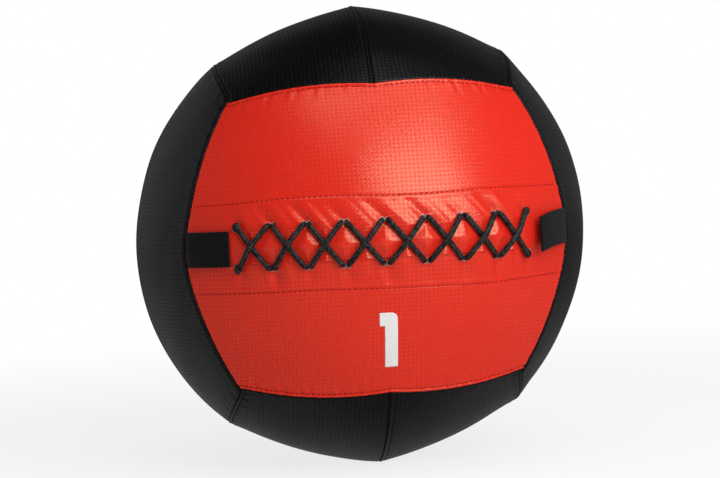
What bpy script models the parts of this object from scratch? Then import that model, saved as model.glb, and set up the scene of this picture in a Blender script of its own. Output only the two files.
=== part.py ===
"""A soft wall ball: twelve sewn vinyl panels over foam pads, a liner bag and its stuffing.

Metres, +Z up. The origin is on the floor under the middle of the ball, the laced closure faces
-Y, and the ball stands on the small flat that its own weight presses into the lowest panels.
"""

import math

import bmesh
import bpy
import numpy as np

# The ball and its out-of-round shape
BALL_DIAMETER = 0.350
SEAM_RISE = 0.00245
CORNER_RISE = 0.0030
PANEL_DROP = 0.0044
LACED_RISE = 0.0006
LEAN_SHARE = 0.013
LEAN_ANGLE = math.radians(56)
FLAT_DEPTH = 0.0036

# The seam net: how far a seam's middle is bowed off the edge of a cube, and how it tapers
CUBE_EDGE_ANGLE = math.radians(45)
SEAM_BOW = math.radians(6.5)
SEAM_BOW_POWER = 0.7

# The layers, from the outside in
COVER_THICKNESS = 0.0016
FACING_THICKNESS = 0.0012
PAD_THICKNESS = 0.014
LINER_THICKNESS = 0.001
CLEARANCE = 0.0003
LAYER_GAP = 0.0008

# The laced closure
SLOT_WIDTH = 0.008
STRIP_WIDTH = 0.0226
STRIP_THICKNESS = 0.001
STRIP_TUCK = 0.008
CORD_DIAMETER = 0.0045
HOLE_CLEARANCE = 0.0007
HOLE_BRIDGE = 0.0021
HOLES_TO_TAB = 0.004
HOOK_WIDTH = 0.004
CROSSING_GAP = 0.0006
DIP_SLACK = 0.0008
FACING_REACH = 0.033
FACING_INSET = 0.002
MOUTH_MARGIN = 0.002
EYELETS_PER_FLAP = 9

# Along a stretch between two holes: where it is, its share of the lift over the strip, and its
# share of the climb over the other strand
STRETCH_SHARES = (
    (-0.965, 0.68, 0),
    (-0.87, 1.03, 0),
    (-0.6, 1, 0.31),
    (-0.13, 1, 1),
    (0.13, 1, 1),
    (0.6, 1, 0.31),
    (0.87, 1.03, 0),
    (0.965, 0.68, 0),
)
# In a dip: where it is between the two holes, and its share of the depth behind the facing
DIP_SHARES = ((-1, 0), (-0.95, 0.72), (0, 1), (0.95, 0.72), (1, 0))
# Over an end hole: shares of the hook's width inwards and outwards, and of the lift
HOOK_SHARES = ((0, 0, -0.9), (0, 0, 0), (0.15, 0.2, 0.68), (0.65, 0.45, 0.9), (1.05, 0.1, 1))

# The webbing tabs
TAB_WIDTH = 0.025
TAB_LENGTH = 0.0384
TAB_THICKNESS = 0.0024
RIGHT_TAB_LIFT = math.radians(8)
RIGHT_TAB_DROOP = 0.006

# How finely the curved pieces are divided
PANEL_ROWS = 6
PAD_CELLS = 6
STRIP_CELLS = 20
TAB_CELLS = 6
FOLD_POINTS = 5
CORD_BEVEL_STEPS = 2
GAP_STEPS = 8
HOLE_SIDES = 8
PLACE_ROUNDS = 30
CUT_OVERRUN = 0.004
SHARP_ANGLE = math.radians(35)

RED = (0.62, 0.035, 0.02, 1)
BLACK = (0.012, 0.012, 0.013, 1)
CORD_BLACK = (0.01, 0.01, 0.011, 1)
BACKING = (0.45, 0.44, 0.42, 1)
FOAM = (0.55, 0.53, 0.45, 1)
LINER_WHITE = (0.7, 0.7, 0.68, 1)
FIBRE = (0.3, 0.3, 0.33, 1)
VINYL_ROUGHNESS = 0.35
CORD_ROUGHNESS = 0.6
WOVEN_ROUGHNESS = 0.7
LINER_ROUGHNESS = 0.8
FOAM_ROUGHNESS = 0.9
FIBRE_ROUGHNESS = 0.95

BALL_RADIUS = BALL_DIAMETER / 2
CORNER_ANGLE = math.asin(1 / math.sqrt(3))
RIDGE_ANGLE = CUBE_EDGE_ANGLE + SEAM_BOW
CROWN_ANGLE = CUBE_EDGE_ANGLE - SEAM_BOW
EDGE_LENGTH = CORNER_ANGLE * BALL_RADIUS
SEAM_SHARE = CLEARANCE / 2 / EDGE_LENGTH

FACING_DEPTH = COVER_THICKNESS + LAYER_GAP
FRONT_PAD_DEPTH = FACING_DEPTH + FACING_THICKNESS + LAYER_GAP
LINER_RADIUS = (
    BALL_RADIUS + SEAM_RISE - PANEL_DROP - COVER_THICKNESS - LAYER_GAP - PAD_THICKNESS - LAYER_GAP
)

CORD_RADIUS = CORD_DIAMETER / 2
HOLE_RADIUS = CORD_RADIUS + HOLE_CLEARANCE
HOLE_HEIGHT = STRIP_WIDTH / 2 + CLEARANCE + HOLE_RADIUS
HOLE_OFFSET = HOLE_RADIUS + HOLE_BRIDGE / 2
TAB_ROOT_ARC = RIDGE_ANGLE * BALL_RADIUS
TAB_TIP_ARC = TAB_ROOT_ARC - TAB_LENGTH
END_HOLE_ARC = TAB_TIP_ARC - HOLES_TO_TAB
EYELET_PITCH = (END_HOLE_ARC - HOOK_WIDTH) / ((EYELETS_PER_FLAP - 1) / 2)
MOUTH_HALF_HEIGHT = HOLE_HEIGHT + HOLE_RADIUS + MOUTH_MARGIN

# How far the cord's middle lies off the cover's outside: on the strip, over the other strand, and
# behind the facings
LIFT_ON_STRIP = CLEARANCE + STRIP_THICKNESS + CLEARANCE + CORD_RADIUS
LIFT_OVER_STRAND = LIFT_ON_STRIP + CORD_DIAMETER + CROSSING_GAP
DIP_DEPTH = FACING_DEPTH + FACING_THICKNESS + CLEARANCE + CORD_RADIUS + DIP_SLACK

# The ball's centre lies behind the origin by half of what the lacing stands out in front
CENTRE_SETBACK = (LACED_RISE + LIFT_OVER_STRAND + CORD_RADIUS - SEAM_RISE) / 2

# Each face of the ball is the front face, turned
CYCLE = np.array([[0, 0, 1], [1, 0, 0], [0, 1, 0]])
HALF_TURN_Z = np.diag([-1, -1, 1])
HALF_TURN_Y = np.diag([-1, 1, -1])
FACE_TURNS = {
    "front": np.eye(3),
    "back": HALF_TURN_Z,
    "bottom": CYCLE,
    "top": HALF_TURN_Y @ CYCLE,
    "left": CYCLE @ CYCLE,
    "right": HALF_TURN_Z @ CYCLE @ CYCLE,
}


def unit(vectors):
    return vectors / np.linalg.norm(vectors, axis=-1, keepdims=True)


def side_seam(t):
    """Directions along the seam between the front and right faces, t from -1 (low) to 1 (high).

    It is a cube's upright edge, turned about Z by a bow that is widest in the middle.
    """
    height = CORNER_ANGLE * t
    turn = CUBE_EDGE_ANGLE + SEAM_BOW * np.clip(1 - np.abs(t), 0, 1) ** SEAM_BOW_POWER
    across = np.cos(height)
    return np.stack([across * np.sin(turn), -across * np.cos(turn), np.sin(height)], -1)


def crown_seam(u):
    """Directions along the seam between the front and top faces: the side seam, permuted."""
    seam = side_seam(u)
    return np.stack([seam[..., 2], -seam[..., 0], -seam[..., 1]], -1)


def ridge(u):
    """Directions along the front face's middle line, between its two panels."""
    return np.stack([np.sin(RIDGE_ANGLE * u), -np.cos(RIDGE_ANGLE * u), 0 * u], -1)


def face_directions(u, v):
    """Directions on the front face: u runs along its ridge and v across it, each -1 to 1.

    Each half is a Coons patch between the ridge, the crown seam and the two side seams.
    """
    rise = np.abs(v)[..., None]
    along = ((u + 1) / 2)[..., None]
    right = side_seam(np.abs(v))
    left = right * [-1, 1, 1]
    ends = np.ones_like(u)
    near = (1 - along) * ridge(-ends) + along * ridge(ends)
    far = (1 - along) * crown_seam(-ends) + along * crown_seam(ends)
    ruled = (1 - rise) * ridge(u) + rise * crown_seam(u)
    sides = (1 - along) * left + along * right
    patch = unit(ruled + sides - (1 - rise) * near - rise * far)
    patch[..., 2] *= np.where(v < 0, -1, 1)
    return patch


def face_radius(u, v, ridge_rise):
    """The cover's radius on the front face, before the ball's lean.

    Seams stand out, corners stand out further, and the panels between them are flatter. The
    ridge has a rise of its own, which fades into the seams at its two ends.
    """
    rise = np.abs(v)
    inside = 1 - u**4
    seams = SEAM_RISE + CORNER_RISE * u**2 * rise**2
    ridge_change = (ridge_rise - SEAM_RISE) * (1 - rise) ** 3 * inside
    drop = PANEL_DROP * 4 * rise * (1 - rise) * inside
    return BALL_RADIUS + seams + ridge_change - drop


def lean(directions):
    """The factor that stretches the ball along one upright diagonal and narrows the other."""
    long_axis = np.array([math.cos(LEAN_ANGLE), 0, math.sin(LEAN_ANGLE)])
    short_axis = np.array([-math.sin(LEAN_ANGLE), 0, math.cos(LEAN_ANGLE)])
    return 1 + LEAN_SHARE * ((directions @ long_axis) ** 2 - (directions @ short_axis) ** 2)


def lowest_radius():
    """How far the seam under the ball would reach down, if nothing pressed it flat."""
    down = np.array([0.0, 0.0, -1.0])
    return (BALL_RADIUS + SEAM_RISE) * lean(down)


CENTRE_HEIGHT = float(lowest_radius()) - FLAT_DEPTH


def ridge_rise_of(face):
    return LACED_RISE if face == "front" else SEAM_RISE


def layer(face, u, v, depth):
    """Points of one face at a depth under the cover's outside, about the ball's centre."""
    directions = face_directions(u, v) @ FACE_TURNS[face].T
    radius = face_radius(u, v, ridge_rise_of(face)) * lean(directions) - depth
    return directions * radius[..., None]


def round_layer(face, u, v, radius):
    """Points of one face on the round core, which leans as the cover does."""
    directions = face_directions(u, v) @ FACE_TURNS[face].T
    return directions * (radius * lean(directions))[..., None]


def above_floor(points, height):
    """Moves points towards the ball's centre until none is lower than a height over the floor."""
    lowest = height - CENTRE_HEIGHT
    share = np.where(points[..., 2] < lowest, lowest / np.minimum(points[..., 2], lowest), 1)
    return points * share[..., None]


def standing(points):
    """From the ball's centre to the floor's frame."""
    return points + [0, CENTRE_SETBACK, CENTRE_HEIGHT]


def front_place(arc, height):
    """The face coordinates u and v of a place on the front face.

    arc is its distance along the equator from the middle, and height its distance above it.
    """
    longitude = arc / BALL_RADIUS
    latitude = np.arcsin(height / BALL_RADIUS)
    u = longitude / RIDGE_ANGLE
    v = latitude / CROWN_ANGLE
    for _ in range(PLACE_ROUNDS):
        reached = face_directions(u, v)
        u = u + (longitude - np.arctan2(reached[..., 0], -reached[..., 1])) / RIDGE_ANGLE
        v = v + (latitude - np.arcsin(reached[..., 2])) / CROWN_ANGLE
    return u, v


def front_points(arc, height, lift):
    """Points over the front face, lifted off the cover's outside, about the ball's centre."""
    arc, height, lift = np.broadcast_arrays(
        np.asarray(arc, float), np.asarray(height, float), np.asarray(lift, float)
    )
    u, v = front_place(arc, height)
    return layer("front", u, v, -lift)


def make_material(name, colour, roughness):
    material = bpy.data.materials.new(name)
    material.use_nodes = True
    shader = material.node_tree.nodes["Principled BSDF"]
    shader.inputs["Base Color"].default_value = colour
    shader.inputs["Roughness"].default_value = roughness
    shader.inputs["Metallic"].default_value = 0
    material.diffuse_color = colour
    return material


def add_object(name, mesh, colour, roughness):
    mesh.shade_smooth()
    mesh.set_sharp_from_angle(angle=SHARP_ANGLE)
    mesh.materials.append(make_material(name, colour, roughness))
    made = bpy.data.objects.new(name, mesh)
    bpy.context.scene.collection.objects.link(made)
    return made


def mesh_from(name, points, faces):
    """A mesh with its faces turned outwards."""
    mesh = bpy.data.meshes.new(name)
    mesh.from_pydata([tuple(point) for point in points], [], faces)
    work = bmesh.new()
    work.from_mesh(mesh)
    bmesh.ops.recalc_face_normals(work, faces=work.faces)
    work.to_mesh(mesh)
    work.free()
    return mesh


def grid_faces(rows, columns, first):
    """Triangles over a grid of points that are numbered row by row from first.

    Every grid is split along the same diagonal, so that nested layers keep their gap.
    """
    faces = []
    for row in range(rows - 1):
        for column in range(columns - 1):
            corner = first + row * columns + column
            across = corner + columns
            faces += [(corner, across, across + 1), (corner, across + 1, corner + 1)]
    return faces


def rim_faces(rows, columns):
    """Quads that join the border of one grid to the border of the next."""
    border = [row * columns for row in range(rows)]
    border += [(rows - 1) * columns + column for column in range(1, columns)]
    border += [row * columns + columns - 1 for row in range(rows - 2, -1, -1)]
    border += list(range(columns - 2, 0, -1))
    count = rows * columns
    return [
        (here, there, there + count, here + count)
        for here, there in zip(border, border[1:] + border[:1])
    ]


def slab_mesh(name, outer, inner):
    """A closed curved slab between two grids of points of one shape."""
    rows, columns = outer.shape[:2]
    points = np.concatenate([outer.reshape(-1, 3), inner.reshape(-1, 3)])
    faces = grid_faces(rows, columns, 0)
    faces += [tuple(reversed(face)) for face in grid_faces(rows, columns, rows * columns)]
    faces += rim_faces(rows, columns)
    return mesh_from(name, standing(points), faces)


def panel_grid(low, high):
    """The u and v of a panel's points: evenly spaced, and drawn in a little at its seams."""
    along = np.linspace(-1, 1, 2 * PANEL_ROWS + 1)
    across = np.linspace(0, 1, PANEL_ROWS + 1)
    across[0] = low
    across[-1] = high
    along[0] += SEAM_SHARE
    along[-1] -= SEAM_SHARE
    return np.meshgrid(along, across, indexing="ij")


def add_panel(name, face, side, low, colour):
    """One cover panel, on the side of its face's ridge that side (1 or -1) gives."""
    u, v = panel_grid(low, 1 - SEAM_SHARE)
    outer = layer(face, u, side * v, 0)
    inner = above_floor(layer(face, u, side * v, COVER_THICKNESS), COVER_THICKNESS)
    return add_object(name, slab_mesh(name, outer, inner), colour, VINYL_ROUGHNESS)


def add_helper(name, mesh):
    """A cutter: it shapes other objects and isn't a piece itself."""
    helper = bpy.data.objects.new(name, mesh)
    helper.hide_render = True
    helper.display_type = "WIRE"
    bpy.context.scene.collection.objects.link(helper)
    return helper


def cut_by(target, cutter):
    cut = target.modifiers.new("cut " + cutter.name, "BOOLEAN")
    cut.operation = "DIFFERENCE"
    cut.object = cutter


def floor_cutter():
    """A block whose top is the floor."""
    mesh = bpy.data.meshes.new("floor_cutter")
    work = bmesh.new()
    bmesh.ops.create_cube(work, size=BALL_DIAMETER)
    bmesh.ops.translate(work, verts=work.verts, vec=(0, 0, -BALL_RADIUS))
    work.to_mesh(mesh)
    work.free()
    return add_helper("floor_cutter", mesh)


def hole_places():
    """The (arc, height) of every lace hole in the upper flap, from left to right."""
    inner = (EYELETS_PER_FLAP - 1) // 2 - 1
    arcs = [-END_HOLE_ARC]
    for eyelet in range(-inner, inner + 1):
        arcs += [eyelet * EYELET_PITCH - HOLE_OFFSET, eyelet * EYELET_PITCH + HOLE_OFFSET]
    arcs.append(END_HOLE_ARC)
    return [(arc, HOLE_HEIGHT) for arc in arcs]


def hole_cutter(name, side):
    """One eight-sided plug for each lace hole, along the ball's radius."""
    points = []
    faces = []
    turns = np.arange(HOLE_SIDES) * 2 * math.pi / HOLE_SIDES
    reach = HOLE_RADIUS / math.cos(math.pi / HOLE_SIDES)
    for arc, height in hole_places():
        top = front_points(arc, side * height, CUT_OVERRUN)
        bottom = front_points(
            arc, side * height, -FACING_DEPTH - FACING_THICKNESS - CUT_OVERRUN
        )
        axis = unit(top - bottom)
        level = unit(np.cross([0, 0, 1], axis))
        upright = np.cross(axis, level)
        ring = reach * (np.cos(turns)[:, None] * level + np.sin(turns)[:, None] * upright)
        first = len(points)
        points += list(bottom + ring) + list(top + ring)
        low = [first + step for step in range(HOLE_SIDES)]
        high = [corner + HOLE_SIDES for corner in low]
        faces += [tuple(reversed(low)), tuple(high)]
        faces += [
            (low[step], low[step - HOLE_SIDES + 1], high[step - HOLE_SIDES + 1], high[step])
            for step in range(HOLE_SIDES)
        ]
    return add_helper(name, mesh_from(name, standing(np.array(points)), faces))


def add_cover(floor, holes):
    """The twelve panels: red in front and behind, black on the other four faces."""
    slot_share = SLOT_WIDTH / 2 / (CROWN_ANGLE * BALL_RADIUS)
    for name, side in (("upper", 1), ("lower", -1)):
        flap = add_panel(f"front_{name}_panel", "front", side, slot_share, RED)
        cut_by(flap, holes[side])
        add_panel(f"back_{name}_panel", "back", side, SEAM_SHARE, RED)
    for face, names in {
        "top": ("left", "right"),
        "bottom": ("right", "left"),
        "left": ("back", "front"),
        "right": ("front", "back"),
    }.items():
        for name, side in zip(names, (1, -1)):
            panel = add_panel(f"{face}_{name}_panel", face, side, SEAM_SHARE, BLACK)
            if face == "bottom":
                cut_by(panel, floor)


def add_facing(name, side, holes):
    """The doubled strip behind a flap's edge, which backs the lace holes."""
    inset = FACING_INSET / TAB_ROOT_ARC
    along = np.linspace(inset - 1, 1 - inset, 2 * PANEL_ROWS + 1)
    shares = np.array([SLOT_WIDTH / 2, FACING_REACH / 2, FACING_REACH])
    across = side * shares / (CROWN_ANGLE * BALL_RADIUS)
    u, v = np.meshgrid(along, across, indexing="ij")
    outer = layer("front", u, v, FACING_DEPTH)
    inner = layer("front", u, v, FACING_DEPTH + FACING_THICKNESS)
    facing = add_object(name, slab_mesh(name, outer, inner), BACKING, WOVEN_ROUGHNESS)
    cut_by(facing, holes[side])


def add_cover_strip():
    """The strip that hides the slot: it lies on both flaps, and its ends tuck under the tabs."""
    reach = TAB_TIP_ARC + STRIP_TUCK
    arc = np.linspace(-reach, reach, STRIP_CELLS + 1)
    height = np.array([-STRIP_WIDTH / 2, 0, STRIP_WIDTH / 2])
    arc, height = np.meshgrid(arc, height, indexing="ij")
    outer = front_points(arc, height, CLEARANCE + STRIP_THICKNESS)
    inner = front_points(arc, height, CLEARANCE)
    strip = slab_mesh("cover_strip", outer, inner)
    add_object("cover_strip", strip, RED, VINYL_ROUGHNESS)


def pad_grid(low):
    """The u and v of a pad's points; low is where it starts across the face."""
    along = np.linspace(-1, 1, PAD_CELLS + 1)
    across = along[along > low]
    across = np.concatenate([[low], across])
    across[-1] -= SEAM_SHARE
    along[0] += SEAM_SHARE
    along[-1] -= SEAM_SHARE
    return np.meshgrid(along, across, indexing="ij")


def add_pad(name, face, side, low, depth, liner_gap):
    u, v = pad_grid(low)
    outer = above_floor(layer(face, u, side * v, depth), COVER_THICKNESS + 2 * LAYER_GAP)
    inner = round_layer(face, u, side * v, LINER_RADIUS + liner_gap)
    add_object(name, slab_mesh(name, outer, inner), FOAM, FOAM_ROUGHNESS)


def add_pads():
    """One foam pad behind each face; the front one is in two halves, clear of the lacing."""
    mouth_share = MOUTH_HALF_HEIGHT / (CROWN_ANGLE * BALL_RADIUS)
    add_pad("front_upper_pad", "front", 1, mouth_share, FRONT_PAD_DEPTH, 2 * LAYER_GAP)
    add_pad("front_lower_pad", "front", -1, mouth_share, FRONT_PAD_DEPTH, 2 * LAYER_GAP)
    for face in ("back", "top", "bottom", "left", "right"):
        add_pad(f"{face}_pad", face, 1, SEAM_SHARE - 1, COVER_THICKNESS + LAYER_GAP, LAYER_GAP)


def core_mesh(name, radius, open_front):
    """The six faces at one radius, welded into a ball; open_front leaves the mouth's cells out."""
    points = []
    faces = []
    steps = np.linspace(-1, 1, PAD_CELLS + 1)
    u, v = np.meshgrid(steps, steps, indexing="ij")
    count = (PAD_CELLS + 1) ** 2
    for number, face in enumerate(FACE_TURNS):
        points += list(round_layer(face, u, v, radius).reshape(-1, 3))
        cells = grid_faces(PAD_CELLS + 1, PAD_CELLS + 1, number * count)
        if face == "front" and open_front:
            middle = range(PAD_CELLS // 2 - 1, PAD_CELLS // 2 + 1)
            mouth = {row * PAD_CELLS + column for row in middle for column in middle}
            cells = [cell for place, cell in enumerate(cells) if place // 2 not in mouth]
        faces += cells
    mesh = mesh_from(name, standing(np.array(points)), faces)
    work = bmesh.new()
    work.from_mesh(mesh)
    bmesh.ops.remove_doubles(work, verts=work.verts, dist=CLEARANCE / 10)
    bmesh.ops.recalc_face_normals(work, faces=work.faces)
    work.to_mesh(mesh)
    work.free()
    return mesh


def add_core():
    """The liner bag, whose mouth faces the laced slot, and the stuffing packed into it."""
    bag = core_mesh("liner_bag", LINER_RADIUS, True)
    liner = add_object("liner_bag", bag, LINER_WHITE, LINER_ROUGHNESS)
    wall = liner.modifiers.new("wall", "SOLIDIFY")
    wall.thickness = LINER_THICKNESS
    wall.offset = -1
    stuffing_radius = LINER_RADIUS - LINER_THICKNESS - LAYER_GAP
    stuffing = core_mesh("stuffing", stuffing_radius, False)
    add_object("stuffing", stuffing, FIBRE, FIBRE_ROUGHNESS)


def stretch_route(left, right, side):
    """One straight stretch of a strand, which starts on the given side of the slot.

    A stretch that rises from left to right passes over the other strand.
    """
    climb = (LIFT_OVER_STRAND - LIFT_ON_STRIP) if side < 0 else 0
    middle = (left + right) / 2
    half = (right - left) / 2
    route = []
    for share, strip_share, climb_share in STRETCH_SHARES:
        lift = strip_share * LIFT_ON_STRIP + climb_share * climb
        route.append((middle + share * half, -side * share * HOLE_HEIGHT, lift))
    return route


def dip_route(centre, side):
    """The cord's dip from one hole to the next, under the bridge between them."""
    return [
        (centre + across * HOLE_OFFSET, side * HOLE_HEIGHT, -depth * DIP_DEPTH)
        for across, depth in DIP_SHARES
    ]


def hook_route(end, side):
    """The cord's way out of an end hole and over its tip; end is -1 at the left, 1 at the right."""
    return [
        (
            end * (END_HOLE_ARC - inward * HOOK_WIDTH),
            side * (HOLE_HEIGHT + outward * HOOK_WIDTH),
            lift * LIFT_ON_STRIP,
        )
        for inward, outward, lift in HOOK_SHARES
    ]


def strand_route(side):
    """The (arc, height, lift) of one zigzag strand, from its left end hole to its right one.

    It starts on the given side of the slot and dips at each eyelet that it reaches.
    """
    last = (EYELETS_PER_FLAP - 1) // 2
    route = hook_route(-1, side)
    for eyelet in range(-last, last):
        left = eyelet * EYELET_PITCH + (HOLE_OFFSET if eyelet > -last else 0)
        right = (eyelet + 1) * EYELET_PITCH - (HOLE_OFFSET if eyelet + 1 < last else 0)
        route += stretch_route(left, right, side)
        side = -side
        if eyelet + 1 < last:
            route += dip_route((eyelet + 1) * EYELET_PITCH, side)
    return route + list(reversed(hook_route(1, side)))


def lace_route():
    """The whole lace: both strands, the hidden link at the right end, and two tails at the left.

    The tails pass each other behind the facings, where the ends are tied.
    """
    behind = -DIP_DEPTH
    beside = CORD_DIAMETER + CROSSING_GAP
    turn = HOLE_HEIGHT - CORD_RADIUS
    upper_tail = [(-END_HOLE_ARC, 0, behind), (-END_HOLE_ARC, turn, behind)]
    link = [(END_HOLE_ARC, turn, behind), (END_HOLE_ARC, -turn, behind)]
    lower_tail = [
        (-END_HOLE_ARC, -turn, behind),
        (beside - END_HOLE_ARC, -turn / 2, behind),
        (beside - END_HOLE_ARC, turn / 2, behind),
    ]
    strands = strand_route(1) + link + list(reversed(strand_route(-1)))
    return np.array(upper_tail + strands + lower_tail)


def least_gap(points):
    """The least gap between the cord and itself, on points that aren't close along it."""
    steps = np.linalg.norm(np.diff(points, axis=0), axis=1)
    along = np.concatenate([[0], np.cumsum(steps)])
    apart = np.linalg.norm(points[:, None] - points[None], axis=2)
    near = np.abs(along[:, None] - along[None]) < 3 * CORD_DIAMETER
    return float(np.where(near, BALL_DIAMETER, apart).min()) - CORD_DIAMETER


def finely(points):
    """The points of a line of straight runs, with more read along each run."""
    shares = np.linspace(0, 1, GAP_STEPS, endpoint=False)[None, :, None]
    runs = points[:-1, None] * (1 - shares) + points[1:, None] * shares
    return runs.reshape(-1, 3)


def add_lace():
    """One round cord along its whole route through both flaps."""
    route = lace_route()
    points = standing(front_points(route[:, 0], route[:, 1], route[:, 2]))
    print("lace: least gap to itself", least_gap(finely(points)), "m")
    curve = bpy.data.curves.new("lace", "CURVE")
    curve.dimensions = "3D"
    curve.bevel_depth = CORD_RADIUS
    curve.bevel_resolution = CORD_BEVEL_STEPS
    curve.use_fill_caps = True
    spline = curve.splines.new("POLY")
    spline.points.add(len(points) - 1)
    for place, point in zip(spline.points, points):
        place.co = (*point, 1)
    curve.materials.append(make_material("lace", CORD_BLACK, CORD_ROUGHNESS))
    lace = bpy.data.objects.new("lace", curve)
    bpy.context.scene.collection.objects.link(lace)


def tab_axis(side):
    """Where the left (-1) or right (1) tab is hinged by its stitching, over the side seam."""
    direction = np.array([side * math.sin(RIDGE_ANGLE), -math.cos(RIDGE_ANGLE), 0])
    seam_radius = (BALL_RADIUS + SEAM_RISE) * lean(direction)
    return direction * (seam_radius + CLEARANCE + TAB_THICKNESS / 2)


def tab_mesh(name, side, droop):
    """A doubled webbing strap that follows the cover and lies over the end of the cover strip.

    Its outline, seen from above, is rounded at the root and at the fold of its free end, and
    runs straight up and down. The droop lowers the free end. Points are about the root's axis.
    """
    half = TAB_THICKNESS / 2
    share = np.linspace(0, 1, TAB_CELLS + 1)
    over_strip = CLEARANCE + STRIP_THICKNESS
    raised = over_strip * np.clip(share * TAB_LENGTH / (TAB_LENGTH - STRIP_TUCK), 0, 1)
    arc = side * (TAB_ROOT_ARC - share * TAB_LENGTH)
    line = front_points(arc, 0, CLEARANCE + half + raised)
    line = line - line[0]
    along = unit(np.gradient(line, axis=0))
    outward = side * np.cross(along, [0, 0, 1])
    turns = np.linspace(-math.pi / 2, math.pi / 2, FOLD_POINTS)[:, None]
    tip = line[-1] + half * (np.cos(turns) * along[-1] + np.sin(turns) * outward[-1])
    root = line[0] + half * (-np.cos(turns) * along[0] - np.sin(turns) * outward[0])
    inside = line[1:-1] - half * outward[1:-1]
    outside = line[1:-1] + half * outward[1:-1]
    outline = np.concatenate([inside, tip, outside[::-1], root])
    reach = np.linalg.norm(outline - line[0], axis=1) / TAB_LENGTH
    middle = -droop * reach[:, None] * [0, 0, 1]
    low = outline + middle - [0, 0, TAB_WIDTH / 2]
    high = outline + middle + [0, 0, TAB_WIDTH / 2]
    count = len(outline)
    faces = [tuple(range(count)), tuple(range(2 * count - 1, count - 1, -1))]
    faces += [
        (corner, (corner + 1) % count, count + (corner + 1) % count, count + corner)
        for corner in range(count)
    ]
    return mesh_from(name, np.concatenate([low, high]), faces)


def add_tab(name, side, lift, droop):
    """A webbing tab, placed on its root's axis and turned out from the cover by its lift."""
    tab = add_object(name, tab_mesh(name, side, droop), BLACK, WOVEN_ROUGHNESS)
    tab.location = standing(tab_axis(side))
    tab.rotation_euler = (0, 0, side * lift)
    print(name, "turns about an upright line at", [round(value, 6) for value in tab.location])


def main():
    for leftover in list(bpy.data.objects):
        bpy.data.objects.remove(leftover, do_unlink=True)
    floor = floor_cutter()
    holes = {1: hole_cutter("upper_holes", 1), -1: hole_cutter("lower_holes", -1)}
    add_cover(floor, holes)
    add_facing("upper_facing", 1, holes)
    add_facing("lower_facing", -1, holes)
    add_cover_strip()
    add_lace()
    add_tab("left_webbing_tab", -1, 0, 0)
    add_tab("right_webbing_tab", 1, RIGHT_TAB_LIFT, RIGHT_TAB_DROOP)
    add_pads()
    add_core()


main()
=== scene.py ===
"""The looks of a soft wall ball: sewn vinyl cover, laced closure, webbing tabs and padding."""

import math

import bmesh
import bpy
import numpy as np
from bpy.props import FloatProperty, FloatVectorProperty, IntProperty, PointerProperty
from mathutils import Matrix, Vector


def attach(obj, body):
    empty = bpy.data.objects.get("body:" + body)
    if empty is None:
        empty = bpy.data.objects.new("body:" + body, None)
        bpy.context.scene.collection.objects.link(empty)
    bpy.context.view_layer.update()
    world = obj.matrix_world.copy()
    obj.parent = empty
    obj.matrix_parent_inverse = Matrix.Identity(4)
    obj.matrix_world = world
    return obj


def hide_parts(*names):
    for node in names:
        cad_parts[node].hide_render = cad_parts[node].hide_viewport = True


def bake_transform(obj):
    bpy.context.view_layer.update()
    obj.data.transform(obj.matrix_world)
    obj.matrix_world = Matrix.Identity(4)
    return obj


bl_info = {
    "name": "Wall Ball",
    "version": (1, 0, 0),
    "blender": (4, 5, 0),
    "location": "3D View > Sidebar > Wall Ball",
    "description": "Dresses a soft wall ball: sewn panels, lacing, webbing tabs, padding and stage",
    "category": "Add Mesh",
}

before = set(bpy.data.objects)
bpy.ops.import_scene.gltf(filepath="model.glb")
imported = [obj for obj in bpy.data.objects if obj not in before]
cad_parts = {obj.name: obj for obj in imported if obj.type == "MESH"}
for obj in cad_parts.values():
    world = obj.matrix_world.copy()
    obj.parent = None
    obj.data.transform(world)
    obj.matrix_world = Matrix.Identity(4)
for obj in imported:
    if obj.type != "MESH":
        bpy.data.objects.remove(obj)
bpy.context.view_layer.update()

# The solid ball that the cover is sewn over, in metres
BALL_RADIUS = 0.175
CENTRE = np.array([0.0, 0.004675, 0.174714])
SEAM_RISE = 0.00245
CORNER_RISE = 0.0030
PANEL_DROP = 0.0044
LACED_RISE = 0.0006
FRONT_ROUNDING = 0.09
LEAN_SHARE = 0.013
LEAN_ANGLE = math.radians(56)
SEAM_BOW = math.radians(6.5)
SEAM_BOW_POWER = 0.7
SEAM_SAG = math.radians(1.2)
SAG_WIDTH, SAG_LEVEL, SAG_REACH = 0.17, -0.1, 0.2
CORNER_ANGLE = math.asin(1 / math.sqrt(3))
RIDGE_ANGLE = math.radians(45) + SEAM_BOW
CROWN_ANGLE = math.radians(45) - SEAM_BOW
RIDGE_LENGTH = RIDGE_ANGLE * BALL_RADIUS
CROWN_LENGTH = CROWN_ANGLE * BALL_RADIUS

# The laced closure
SEAM_STOP = 0.0012
SLOT_HALF = 0.004
STRIP_WIDTH = 0.0226
STRIP_THICKNESS = 0.001
STRIP_TUCK = 0.008
CLEARANCE = 0.0003
CORD_RADIUS = 0.00205
LACING_DROP = 0.0016
HOLE_RADIUS = 0.00182
HOLE_HEIGHT = 0.0155
HOLE_OFFSET = 0.00195
RIM_GAP, RIM_WIDTH = 0.0004, 0.0008
TAB_LENGTH = 0.0410
TAB_WIDTH = 0.0254
TAB_THICKNESS = 0.0024
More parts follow.
